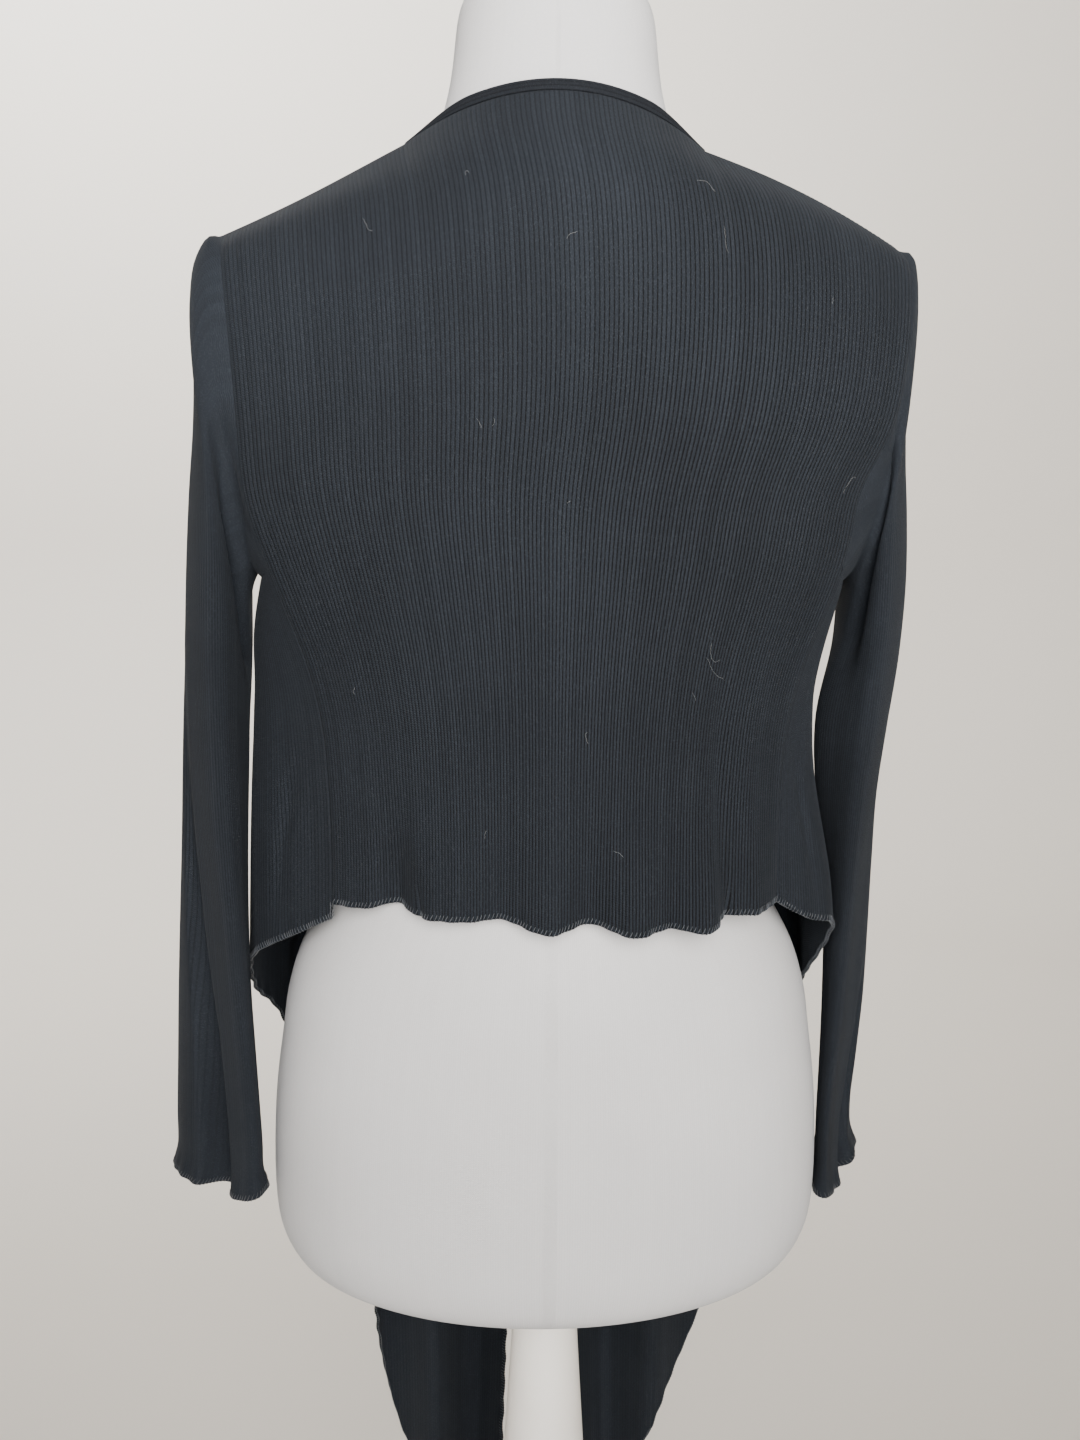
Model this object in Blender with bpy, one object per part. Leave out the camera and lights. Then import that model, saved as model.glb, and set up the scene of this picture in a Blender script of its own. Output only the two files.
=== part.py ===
"""A long-sleeved open cardigan in fine rib knit, worn by a limbless dress form on a stand.

Metres, +Z up. The back of the garment faces -Y, and X runs to the right as seen from behind.
The origin is the middle of the stand's underside. Every cloth piece is a wall of even
thickness. It is laid out as a grid of points on the middle of the cloth and then moved out
and in by half the wall. Pieces that are sewn together share the points of their seam, where
both walls are mitred and drawn back by half the seam's gap.
"""

import math
from collections import namedtuple

import bpy
import numpy as np

MM = 0.001

# Cloth
WALL = 1.4 * MM
SEAM_GAP = 0.4 * MM
MITRE_LIMIT = 1.45

# How finely each piece is divided
BACK_SIDE_ROWS = 12
BACK_ARMHOLE_ROWS = 8
BACK_HALF_NECK_COLUMNS = 8
SHOULDER_COLUMNS = 8
FRONT_UNDERARM_COLUMNS = 6
FRONT_ARMHOLE_COLUMNS = 9
FRONT_EDGE_COLUMNS = 17

# Widths that the seams share, measured from the middle of the garment
NECK_HALF = 86 * MM
SHOULDER_HALF = 198 * MM
SHOULDER_BOW = {-1: -1.5 * MM, 1: 5 * MM}

# Neck band
BAND_HEIGHT = 7.2 * MM
BAND_LEAN = 2.2 * MM
BAND_END_TRIM = 0.3 * MM

# Form and stand. The cloth's tables are measured from a line beside the stand's axis.
CLOTH_SHIFT = -2.5 * MM
FORM_SIDES = 32
STAND_SIDES = 32
FORM_UNDERSIDE = 728.5 * MM
STAND_GAP = 0.3 * MM
BASE_HEIGHT = 52 * MM

COLOURS = {
    "rib knit": (0.028, 0.031, 0.038),
    "form cover": (0.62, 0.62, 0.63),
    "painted wood": (0.80, 0.78, 0.75),
}

# The garment's middle leans to the right towards the shoulders: height, sideways shift
LEAN = [
    (0.40, 0.0037),
    (0.98, 0.0037),
    (1.15, 0.0040),
    (1.20, 0.0048),
    (1.25, 0.0096),
    (1.32, 0.0104),
    (1.36, 0.0085),
    (1.40, 0.0030),
    (1.43, 0.0020),
]

# The back from hem to shoulder line, a row for each level. The edge is the side seam up to
# the underarm and the armhole above it. neck is how far the level follows the neck's curve.
BackLevel = namedtuple("BackLevel", "edge_x edge_y edge_z middle_y middle_z neck")
BACK_LEVELS = [
    BackLevel(0.1277, -0.0600, 0.977, -0.1050, 0.977, 0.0),
    BackLevel(0.1277, -0.0585, 1.010, -0.1060, 1.012, 0.0),
    BackLevel(0.1290, -0.0565, 1.045, -0.1065, 1.050, 0.0),
    BackLevel(0.1325, -0.0540, 1.080, -0.1075, 1.088, 0.0),
    BackLevel(0.1405, -0.0510, 1.112, -0.1090, 1.124, 0.0),
    BackLevel(0.1520, -0.0480, 1.141, -0.1110, 1.158, 0.0),
    BackLevel(0.1630, -0.0450, 1.168, -0.1130, 1.190, 0.0),
    BackLevel(0.1755, -0.0480, 1.205, -0.1145, 1.232, 0.0),
    BackLevel(0.1830, -0.0480, 1.243, -0.1145, 1.273, 0.0),
    BackLevel(0.1875, -0.0460, 1.280, -0.1110, 1.312, 0.05),
    BackLevel(0.1910, -0.0400, 1.313, -0.1030, 1.347, 0.2),
    BackLevel(0.1942, -0.0260, 1.340, -0.0870, 1.382, 0.5),
    BackLevel(0.1980, 0.0100, 1.357, -0.0580, 1.4195, 1.0),
]
UNDERARM_LEVEL = 6 / 12
RIGHT_TUCK = 8 * MM
RIGHT_TUCK_AT = 1.212
RIGHT_TUCK_SPREAD = 0.028
BACK_ROUNDNESS = 2.4
NECK_POINT = (-0.0030, 1.4060)

# Waves of the back hem: place across, how far it stands out from or in to the level above
# it (minus is out), and how far it rises
HemWave = namedtuple("HemWave", "across out rise")
HEM_WAVES = [
    HemWave(-0.1277, 0.000, 0.000),
    HemWave(-0.1080, 0.002, 0.001),
    HemWave(-0.0880, 0.011, 0.004),
    HemWave(-0.0780, 0.001, 0.001),
    HemWave(-0.0640, -0.003, 0.001),
    HemWave(-0.0480, 0.000, 0.001),
    HemWave(-0.0340, 0.005, 0.002),
    HemWave(-0.0060, -0.009, -0.003),
    HemWave(0.0150, 0.003, 0.000),
    HemWave(0.0400, -0.014, -0.004),
    HemWave(0.0580, -0.007, -0.002),
    HemWave(0.0820, -0.020, -0.003),
    HemWave(0.0940, -0.008, 0.000),
    HemWave(0.1120, -0.012, 0.000),
    HemWave(0.1277, 0.000, 0.000),
]
HEM_WAVE_REACH = 0.095

# Each front in plan, a row for each height. Stations follow the side seam: the side, the
# flank, the front corner, the first fold and the free edge. Folds is the depth of its folds.
FrontLevel = namedtuple(
    "FrontLevel", "z side_x side_y flank_x flank_y corner_x corner_y fold_x fold_y edge_x edge_y folds"
)
LEFT_FRONT = [
    FrontLevel(0.40, 0.170, -0.010, 0.172, 0.040, 0.144, 0.092, 0.105, 0.142, 0.030, 0.152, 0.015),
    FrontLevel(0.60, 0.174, -0.010, 0.178, 0.040, 0.150, 0.092, 0.109, 0.146, 0.024, 0.156, 0.018),
    FrontLevel(0.80, 0.180, -0.010, 0.186, 0.040, 0.170, 0.090, 0.120, 0.142, 0.026, 0.152, 0.020),
    FrontLevel(0.90, 0.1805, -0.010, 0.190, 0.045, 0.174, 0.090, 0.118, 0.140, 0.028, 0.150, 0.019),
    FrontLevel(0.977, 0.1800, -0.012, 0.182, 0.035, 0.166, 0.082, 0.114, 0.136, 0.032, 0.147, 0.017),
    FrontLevel(1.060, 0.1772, -0.010, 0.1770, 0.034, 0.156, 0.079, 0.112, 0.130, 0.040, 0.143, 0.014),
    FrontLevel(1.120, 0.1745, -0.004, 0.1735, 0.042, 0.154, 0.078, 0.112, 0.126, 0.047, 0.140, 0.011),
    FrontLevel(1.168, 0.1650, 0.004, 0.1665, 0.052, 0.155, 0.079, 0.114, 0.122, 0.053, 0.137, 0.008),
    FrontLevel(1.250, 0.174, 0.010, 0.1755, 0.054, 0.160, 0.076, 0.116, 0.114, 0.060, 0.128, 0.006),
    FrontLevel(1.320, 0.184, 0.010, 0.186, 0.042, 0.174, 0.058, 0.116, 0.090, 0.068, 0.108, 0.004),
    FrontLevel(1.360, 0.192, 0.003, 0.190, 0.020, 0.180, 0.032, 0.110, 0.062, 0.074, 0.082, 0.002),
    FrontLevel(1.406, 0.196, 0.004, 0.194, 0.008, 0.180, 0.010, 0.100, 0.016, 0.080, 0.030, 0.0),
]
RIGHT_FRONT = [
    FrontLevel(0.40, 0.168, -0.038, 0.160, 0.020, 0.150, 0.088, 0.114, 0.142, 0.030, 0.152, 0.015),
    FrontLevel(0.60, 0.170, -0.038, 0.164, 0.020, 0.154, 0.088, 0.117, 0.146, 0.024, 0.156, 0.018),
    FrontLevel(0.80, 0.172, -0.038, 0.167, 0.020, 0.174, 0.084, 0.120, 0.142, 0.026, 0.152, 0.020),
    FrontLevel(0.90, 0.171, -0.038, 0.167, 0.020, 0.178, 0.080, 0.118, 0.140, 0.028, 0.150, 0.019),
    FrontLevel(0.977, 0.166, -0.036, 0.164, 0.020, 0.166, 0.078, 0.114, 0.136, 0.032, 0.147, 0.017),
    FrontLevel(1.060, 0.154, -0.026, 0.161, 0.026, 0.155, 0.077, 0.112, 0.130, 0.040, 0.143, 0.014),
    FrontLevel(1.120, 0.158, -0.012, 0.164, 0.038, 0.154, 0.077, 0.112, 0.126, 0.047, 0.140, 0.011),
    FrontLevel(1.168, 0.1650, 0.004, 0.1665, 0.052, 0.155, 0.079, 0.114, 0.122, 0.053, 0.137, 0.008),
] + LEFT_FRONT[8:]
STATIONS = (0.0, 0.16, 0.30, 0.45, 0.70, 1.0)
FOLD_START = 0.42
FOLDS_ACROSS = 2.6
RIGHT_FOLD_TURN = 0.5
ARMHOLE_EASE = 75 * MM
SHOULDER_EASE = 48 * MM

# Upper boundary of each front: share of the way across, place and height. It runs from
# the underarm up the front of the armhole, along the shoulder and down the free edge.
TopPoint = namedtuple("TopPoint", "across x y z")
ARMHOLE_FRONT = [
    TopPoint(0.00, 0.1630, -0.0450, 1.168),
    TopPoint(0.08, 0.1700, -0.0200, 1.161),
    TopPoint(0.16, 0.1745, 0.0080, 1.162),
    TopPoint(0.24, 0.1760, 0.0360, 1.180),
    TopPoint(0.30, 0.1765, 0.0520, 1.215),
    TopPoint(0.34, 0.1795, 0.0545, 1.262),
    TopPoint(0.37, 0.1850, 0.0450, 1.306),
    TopPoint(0.39, 0.1925, 0.0270, 1.340),
    TopPoint(0.40, 0.1980, 0.0100, 1.357),
]
UNDERARM_SHARE = 0.22
FREE_EDGE = [
    TopPoint(0.64, NECK_HALF, *NECK_POINT),
    TopPoint(0.70, 0.0835, 0.0300, 1.392),
    TopPoint(0.78, 0.0760, 0.0720, 1.345),
    TopPoint(0.86, 0.0685, 0.1040, 1.285),
    TopPoint(0.93, 0.0610, 0.1260, 1.222),
    TopPoint(1.00, 0.0540, 0.1365, 1.170),
]

# Lower hem of each front: share of the way across, height on the left and on the right
HemPoint = namedtuple("HemPoint", "across left right")
FRONT_HEM = [
    HemPoint(0.00, 0.969, 0.977),
    HemPoint(0.08, 0.950, 0.964),
    HemPoint(0.16, 0.932, 0.957),
    HemPoint(0.30, 0.890, 0.905),
    HemPoint(0.42, 0.853, 0.880),
    HemPoint(0.50, 0.790, 0.800),
    HemPoint(0.60, 0.680, 0.690),
    HemPoint(0.67, 0.585, 0.605),
    HemPoint(0.72, 0.500, 0.550),
    HemPoint(0.78, 0.455, 0.505),
    HemPoint(0.88, 0.430, 0.455),
    HemPoint(1.00, 0.420, 0.430),
]

# A sleeve from armhole to cuff: outermost line, innermost line, both sideways from the
# form's axis, then the middle's depth, half its depth, how far the flattened tube is
# turned (degrees, near side inwards) and how deep its outer side is dented. The cuff rises
# towards its far side.
Ring = namedtuple("Ring", "outer_x outer_z inner_x inner_z y half_depth turn dent")
LEFT_SLEEVE = [
    Ring(0.1955, 1.353, 0.1730, 1.1630, 0.003, 0.0490, 0, 0.000),
    Ring(0.2015, 1.343, 0.1755, 1.1580, 0.002, 0.0485, 0, 0.001),
    Ring(0.2042, 1.325, 0.1780, 1.1490, 0.001, 0.0485, 0, 0.001),
    Ring(0.2030, 1.295, 0.1787, 1.1310, 0.000, 0.049, 3, 0.002),
    Ring(0.2048, 1.257, 0.1783, 1.1140, -0.001, 0.048, 7, 0.003),
    Ring(0.2090, 1.215, 0.1785, 1.0950, -0.002, 0.047, 11, 0.004),
    Ring(0.2122, 1.172, 0.1795, 1.0730, -0.003, 0.046, 14, 0.005),
    Ring(0.2145, 1.128, 0.1800, 1.0480, -0.004, 0.0455, 16, 0.006),
    Ring(0.2168, 1.082, 0.1808, 1.0200, -0.005, 0.045, 18, 0.007),
    Ring(0.2185, 1.036, 0.1817, 0.9900, -0.006, 0.0445, 20, 0.009),
    Ring(0.2200, 0.988, 0.1828, 0.9560, -0.006, 0.044, 22, 0.011),
    Ring(0.2215, 0.940, 0.1835, 0.9180, -0.006, 0.043, 24, 0.012),
    Ring(0.2225, 0.894, 0.1830, 0.8800, -0.006, 0.042, 26, 0.013),
    Ring(0.2235, 0.850, 0.1820, 0.8450, -0.006, 0.041, 27, 0.014),
    Ring(0.2245, 0.814, 0.1810, 0.8150, -0.006, 0.040, 28, 0.015),
    Ring(0.2250, 0.788, 0.1808, 0.7950, -0.006, 0.041, 28, 0.015),
    Ring(0.2265, 0.777, 0.1795, 0.7870, -0.006, 0.042, 28, 0.015),
]
RIGHT_SLEEVE = [
    Ring(0.2110, 1.3515, 0.1815, 1.1630, 0.003, 0.0490, 0, 0.000),
    Ring(0.2130, 1.339, 0.1835, 1.1580, 0.004, 0.0485, 0, 0.001),
    Ring(0.2125, 1.315, 0.1840, 1.1490, 0.005, 0.0480, 0, 0.002),
    Ring(0.2105, 1.284, 0.1840, 1.1350, 0.006, 0.047, 2, 0.003),
    Ring(0.2120, 1.250, 0.1832, 1.1180, 0.006, 0.046, 5, 0.003),
    Ring(0.2160, 1.211, 0.1820, 1.0980, 0.006, 0.045, 8, 0.004),
    Ring(0.2185, 1.170, 0.1790, 1.0740, 0.006, 0.044, 11, 0.004),
    Ring(0.2175, 1.126, 0.1780, 1.0490, 0.007, 0.0425, 13, 0.004),
    Ring(0.2130, 1.080, 0.1775, 1.0210, 0.008, 0.041, 14, 0.005),
    Ring(0.2090, 1.036, 0.1785, 0.9910, 0.009, 0.040, 15, 0.006),
    Ring(0.2085, 0.988, 0.1800, 0.9570, 0.010, 0.039, 16, 0.008),
    Ring(0.2080, 0.940, 0.1805, 0.9190, 0.010, 0.038, 17, 0.009),
    Ring(0.2065, 0.894, 0.1805, 0.8810, 0.009, 0.038, 18, 0.009),
    Ring(0.2030, 0.850, 0.1800, 0.8460, 0.008, 0.038, 18, 0.009),
    Ring(0.2000, 0.813, 0.1790, 0.8160, 0.006, 0.038, 18, 0.009),
    Ring(0.2010, 0.786, 0.1785, 0.7880, 0.005, 0.038, 18, 0.009),
    Ring(0.2030, 0.776, 0.1780, 0.7780, 0.005, 0.039, 19, 0.009),
]
DENT_AT = math.radians(52)
DENT_SPREAD = math.radians(38)
CUFF_RISE = 8 * MM
CUFF_RISE_REACH = 90 * MM

# The dress form: height, half its width, half its depth, and how round its section is:
# 2 is an ellipse, and less is drawn in towards the corners as over the shoulders
FormLevel = namedtuple("FormLevel", "z half_width half_depth round")
FORM_LEVELS = [
    FormLevel(FORM_UNDERSIDE, 0.112, 0.066, 2.0),
    FormLevel(0.7300, 0.134, 0.083, 2.0),
    FormLevel(0.7350, 0.149, 0.096, 2.0),
    FormLevel(0.7450, 0.160, 0.107, 2.0),
    FormLevel(0.7620, 0.1678, 0.1130, 2.0),
    FormLevel(0.7850, 0.1705, 0.1150, 2.0),
    FormLevel(0.8150, 0.1705, 0.1150, 2.0),
    FormLevel(0.8500, 0.1685, 0.1135, 2.0),
    FormLevel(0.8850, 0.1640, 0.1100, 2.0),
    FormLevel(0.9120, 0.1600, 0.1060, 2.0),
    FormLevel(0.9400, 0.1510, 0.1010, 2.0),
    FormLevel(0.9750, 0.1330, 0.0930, 2.0),
    FormLevel(1.0200, 0.1180, 0.0850, 2.0),
    FormLevel(1.0600, 0.1180, 0.0850, 2.0),
    FormLevel(1.1000, 0.1260, 0.0920, 2.0),
    FormLevel(1.1400, 0.1370, 0.1010, 2.0),
    FormLevel(1.1800, 0.1470, 0.1060, 2.0),
    FormLevel(1.2200, 0.1520, 0.1060, 2.0),
    FormLevel(1.2600, 0.1580, 0.1010, 1.95),
    FormLevel(1.2950, 0.1640, 0.0910, 1.85),
    FormLevel(1.3200, 0.1690, 0.0800, 1.75),
    FormLevel(1.3400, 0.1720, 0.0680, 1.65),
    FormLevel(1.3530, 0.1710, 0.0590, 1.55),
    FormLevel(1.3640, 0.1560, 0.0530, 1.5),
    FormLevel(1.3760, 0.1330, 0.0490, 1.5),
    FormLevel(1.3880, 0.1060, 0.0470, 1.6),
    FormLevel(1.4000, 0.0800, 0.0460, 1.8),
    FormLevel(1.4140, 0.0680, 0.0460, 2.0),
    FormLevel(1.4310, 0.0622, 0.0460, 2.0),
    FormLevel(1.4480, 0.0590, 0.0455, 2.0),
    FormLevel(1.4740, 0.0558, 0.0440, 2.0),
    FormLevel(1.4860, 0.0510, 0.0400, 2.0),
    FormLevel(1.4930, 0.0440, 0.0340, 2.0),
    FormLevel(1.4965, 0.0340, 0.0260, 2.0),
]

# Stand: height and radius down the outside of each turned piece
POLE_PROFILE = [
    (FORM_UNDERSIDE - STAND_GAP, 0.0185),
    (0.6740, 0.0212),
    (0.5930, 0.0261),
    (0.4000, 0.0370),
    (0.2200, 0.0480),
    (0.1000, 0.0570),
    (BASE_HEIGHT + STAND_GAP, 0.0640),
]
BASE_PROFILE = [
    (BASE_HEIGHT, 0.0640),
    (0.0500, 0.0720),
    (0.0400, 0.0900),
    (0.0300, 0.1180),
    (0.0230, 0.1450),
    (0.0170, 0.1600),
    (0.0090, 0.1650),
    (0.0020, 0.1640),
    (0.0000, 0.1620),
]


def smooth_through(knots, values, at):
    """Read a smooth curve through a table's rows, with slopes taken from the next rows."""
    knots = np.asarray(knots, float)
    values = np.asarray(values, float)
    at = np.clip(np.asarray(at, float), knots[0], knots[-1])
    slopes = np.gradient(values, knots, axis=0)
    i = np.clip(np.searchsorted(knots, at, side="right") - 1, 0, len(knots) - 2)
    step = knots[i + 1] - knots[i]
    t = (at - knots[i]) / step
    if values.ndim > 1:
        t, step = t[..., None], step[..., None]
    return (
        (2 * t**3 - 3 * t**2 + 1) * values[i]
        + (t**3 - 2 * t**2 + t) * step * slopes[i]
        + (3 * t**2 - 2 * t**3) * values[i + 1]
        + (t**3 - t**2) * step * slopes[i + 1]
    )


def middle_x(z):
    """Give how far the garment's middle lies to the right at a height."""
    heights, shifts = zip(*LEAN)
    return smooth_through(heights, shifts, z)


def fade(t):
    """Fall smoothly from 1 at t = 0 to 0 at t = 1 and beyond."""
    t = np.clip(t, 0.0, 1.0)
    return 1 - t * t * (3 - 2 * t)


def tuck(z):
    """Give how far the right armhole is drawn in at a height."""
    return RIGHT_TUCK * np.exp(-(((z - RIGHT_TUCK_AT) / RIGHT_TUCK_SPREAD) ** 2))


def back_edge(level, side):
    """Give the side seam and armhole of the back at a level, on side -1 or 1."""
    x, y, z = smooth_through(
        np.linspace(0, 1, len(BACK_LEVELS)), [row[:3] for row in BACK_LEVELS], np.atleast_1d(level)
    ).T
    return np.stack([side * x + middle_x(z) - max(side, 0) * tuck(z), y, z], axis=-1)


def neck_line(across):
    """Give depth and height of the back's top edge, as shares of the way from middle to tip."""
    share = np.abs(across)
    neck = NECK_HALF / SHOULDER_HALF
    top = BACK_LEVELS[-1]
    drop = (top.middle_z - NECK_POINT[1]) / (top.middle_z - top.edge_z)
    forward = (NECK_POINT[0] - top.middle_y) / (top.edge_y - top.middle_y)
    inside = share / neck
    outside = np.clip((share - neck) / (1 - neck), 0, 1)
    bow = np.where(across < 0, SHOULDER_BOW[-1], SHOULDER_BOW[1]) * np.sin(math.pi * outside)
    bow = bow / (top.middle_z - top.edge_z)
    height = np.where(share < neck, drop * inside**2.2, drop + (1 - drop) * outside - bow)
    depth = np.where(share < neck, forward * inside**1.9, forward + (1 - forward) * outside)
    return depth, height


def back_points(across, levels):
    """Lay out the back panel.

    across runs from -1 at the left edge to 1 at the right, levels from 0 at the hem to 1.
    """
    rows = smooth_through(np.linspace(0, 1, len(BACK_LEVELS)), BACK_LEVELS, levels)
    wave_x, wave_out, wave_rise = np.array(HEM_WAVES).T
    share = np.abs(across)
    depth_top, height_top = neck_line(across)
    grid = np.zeros((len(levels), len(across), 3))
    for r, (edge_x, edge_y, edge_z, middle_y, middle_z, neck) in enumerate(rows):
        height = (1 - neck) * share**2 + neck * height_top
        depth = (1 - neck) * share**BACK_ROUNDNESS + neck * depth_top
        z = middle_z + (edge_z - middle_z) * height
        y = middle_y + (edge_y - middle_y) * depth
        near_hem = fade((z - BACK_LEVELS[0].edge_z) / HEM_WAVE_REACH) ** 1.5
        y = y + near_hem * smooth_through(wave_x, wave_out, across * BACK_LEVELS[0].edge_x)
        z = z + near_hem * smooth_through(wave_x, wave_rise, across * BACK_LEVELS[0].edge_x)
        x = across * edge_x + middle_x(z) - np.maximum(across, 0) ** 2 * tuck(z)
        grid[r] = np.stack([x, y, z], axis=-1)
    for column in (0, -1):
        grid[:, column] = back_edge(levels, np.sign(across[column]))
    return grid


def front_plan(side, across, z):
    """Give where a front hangs in plan at shares across it and heights, before its top."""
    table = LEFT_FRONT if side < 0 else RIGHT_FRONT
    rows = smooth_through([row.z for row in table], table, z)
    below_arm = [row for row in BACK_LEVELS if row.edge_z <= ARMHOLE_FRONT[0].z]
    seam = smooth_through([row.edge_z for row in below_arm], [row[:2] for row in below_arm], z)
    xs = np.concatenate([seam[..., :1], rows[..., 1:11:2]], axis=-1)
    ys = np.concatenate([seam[..., 1:], rows[..., 2:11:2]], axis=-1)
    points = np.zeros(z.shape + (2,))
    slopes = np.zeros(z.shape + (2,))
    for index in np.ndindex(z.shape):
        path = np.stack([xs[index], ys[index]], axis=-1)
        share = across[index]
        near = [share, min(share + 0.002, 1.0), max(share - 0.002, 0.0)]
        points[index], ahead, behind = smooth_through(STATIONS, path, near)
        slopes[index] = ahead - behind
    slopes /= np.linalg.norm(slopes, axis=-1, keepdims=True)
    turn = FOLDS_ACROSS * 2 * math.pi * (across - FOLD_START) / (1 - FOLD_START)
    turn = turn + (RIGHT_FOLD_TURN if side > 0 else 0.0)
    out = rows[..., 11] * (1 - fade((across - FOLD_START) / 0.15)) * np.sin(turn)
    points[..., 0] += slopes[..., 1] * out
    points[..., 1] -= slopes[..., 0] * out
    return points


def front_top(across):
    """Give the upper boundary of a front: armhole, shoulder, free edge, before the lean."""
    rows = np.zeros((len(across), 3))
    for i, share in enumerate(across):
        if share <= ARMHOLE_FRONT[-1].across:
            table = ARMHOLE_FRONT
        elif share < FREE_EDGE[0].across:
            t = (share - ARMHOLE_FRONT[-1].across) / (FREE_EDGE[0].across - ARMHOLE_FRONT[-1].across)
            rows[i] = (1 - t) * np.array(ARMHOLE_FRONT[-1][1:]) + t * np.array(FREE_EDGE[0][1:])
            continue
        else:
            table = FREE_EDGE
        rows[i] = smooth_through([p.across for p in table], [p[1:] for p in table], share)
    return rows


def front_points(side, across, rows):
    """Lay out a front from its hem (row 0) to its upper boundary, on side -1 or 1."""
    top = front_top(across)
    drop = [point.left if side < 0 else point.right for point in FRONT_HEM]
    hem = smooth_through([point.across for point in FRONT_HEM], drop, across)
    shares = np.linspace(0, 1, rows + 1)[:, None]
    levels = np.linspace(0, UNDERARM_LEVEL, rows + 1)
    seam = back_edge(levels, side)
    seam_share = ((seam[:, 2] - seam[0, 2]) / (seam[-1, 2] - seam[0, 2]))[:, None]
    spread = fade(across / 0.3)[None, :]
    shares = shares * (1 - spread) + seam_share * spread
    z = hem[None, :] + (top[None, :, 2] - hem[None, :]) * shares
    wide = np.broadcast_to(across, z.shape)
    plan = front_plan(side, wide, z)
    miss = top[:, :2] - plan[-1]
    over_arm = fade((across - ARMHOLE_FRONT[-1].across) / 0.06)
    reach = SHOULDER_EASE + (ARMHOLE_EASE - SHOULDER_EASE) * over_arm
    ease = fade((top[None, :, 2] - z) / reach[None, :])
    plan = plan + miss[None] * ease[..., None]
    grid = np.stack([side * plan[..., 0] + middle_x(z), plan[..., 1], z], axis=-1)
    grid[:, 0] = seam
    return grid


def sleeve_points(side, table, loop):
    """Lay out a sleeve from the armhole's own points down through the table's rings."""
    middle = (loop.max(axis=0) + loop.min(axis=0)) / 2
    half = (loop.max(axis=0) - loop.min(axis=0)) / 2
    angle = np.arctan2(-(loop[:, 1] - middle[1]) / half[1], (loop[:, 2] - middle[2]) / half[2])
    rings = [loop]
    for ring in table:
        outer = np.array([side * ring.outer_x, 0.0, ring.outer_z])
        inner = np.array([side * ring.inner_x, 0.0, ring.inner_z])
        reach = np.linalg.norm(outer - inner) / 2
        outward = (outer - inner) / (2 * reach)
        away = np.cos(angle) * reach
        deep = -np.sin(angle) * ring.half_depth
        offset = np.angle(np.exp(1j * (angle - DENT_AT)))
        dent = ring.dent * np.exp(-((offset / DENT_SPREAD) ** 2))
        away = away - dent * math.cos(DENT_AT)
        deep = deep + dent * math.sin(DENT_AT)
        away = away + math.tan(math.radians(ring.turn)) * deep
        centre = (outer + inner) / 2 + np.array([0.0, ring.y, 0.0])
        far = np.maximum(deep, 0) / ring.half_depth
        rise = CUFF_RISE * far * fade((ring.outer_z - table[-1].outer_z) / CUFF_RISE_REACH)
        rings.append(centre + away[:, None] * outward + np.stack([0 * deep, deep, rise], axis=-1))
    return np.array(rings)


def grid_normals(grid, closed):
    """Give the unit normal at each point of a grid, from the cells that meet there."""
    if closed:
        grid = np.concatenate([grid, grid[:, :1]], axis=1)
    corner, right, up, far = grid[:-1, :-1], grid[:-1, 1:], grid[1:, :-1], grid[1:, 1:]
    cell = np.cross(far - corner, up - right)
    total = np.zeros_like(grid)
    for rows in (slice(None, -1), slice(1, None)):
        for columns in (slice(None, -1), slice(1, None)):
            total[rows, columns] += cell
    if closed:
        total[:, 0] += total[:, -1]
        total = total[:, :-1]
    return total / np.linalg.norm(total, axis=-1, keepdims=True)


class Cloth:
    """A cloth piece: the grid of its middle, which way is out, and how its seams move it."""

    def __init__(self, name, grid, outside, closed=False):
        self.name = name
        self.grid = grid
        self.closed = closed
        self.normal = grid_normals(grid, closed) * outside
        self.outside = outside
        self.offset = self.normal * (WALL / 2)
        self.shift = np.zeros_like(grid)

    def place(self, cell):
        """Give the place of one grid cell, as a key that sewn neighbours share."""
        return tuple(np.round(self.grid[cell] * 1e6).astype(int))

    def wall(self):
        """Build the closed wall: outer and inner skins split alike, joined by rims."""
        rows, columns = self.grid.shape[:2]
        under = rows * columns
        moved = self.grid + self.shift + np.array([CLOTH_SHIFT, 0.0, 0.0])
        points = np.concatenate([moved + self.offset, moved - self.offset]).reshape(-1, 3)
        middle = moved.reshape(-1, 3)
        index = np.arange(under).reshape(rows, columns)
        if self.closed:
            index = np.hstack([index, index[:, :1]])
        faces = []
        for r in range(rows - 1):
            for c in range(index.shape[1] - 1):
                a, b, e, d = index[r, c], index[r, c + 1], index[r + 1, c + 1], index[r + 1, c]
                if np.linalg.norm(middle[a] - middle[e]) > np.linalg.norm(middle[b] - middle[d]):
                    a, b, e, d = b, e, d, a
                faces += [(a, b, e), (a, e, d)]
                faces += [(a + under, e + under, b + under), (a + under, d + under, e + under)]
        rims = [index[0], index[-1, ::-1]]
        if not self.closed:
            rims += [index[::-1, 0], index[:, -1]]
        for rim in rims:
            for a, b in zip(rim, rim[1:]):
                faces += [(b, a, a + under), (b, a + under, b + under)]
        if self.outside < 0:
            faces = [face[::-1] for face in faces]
        return points, [tuple(int(i) for i in face) for face in faces]


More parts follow.
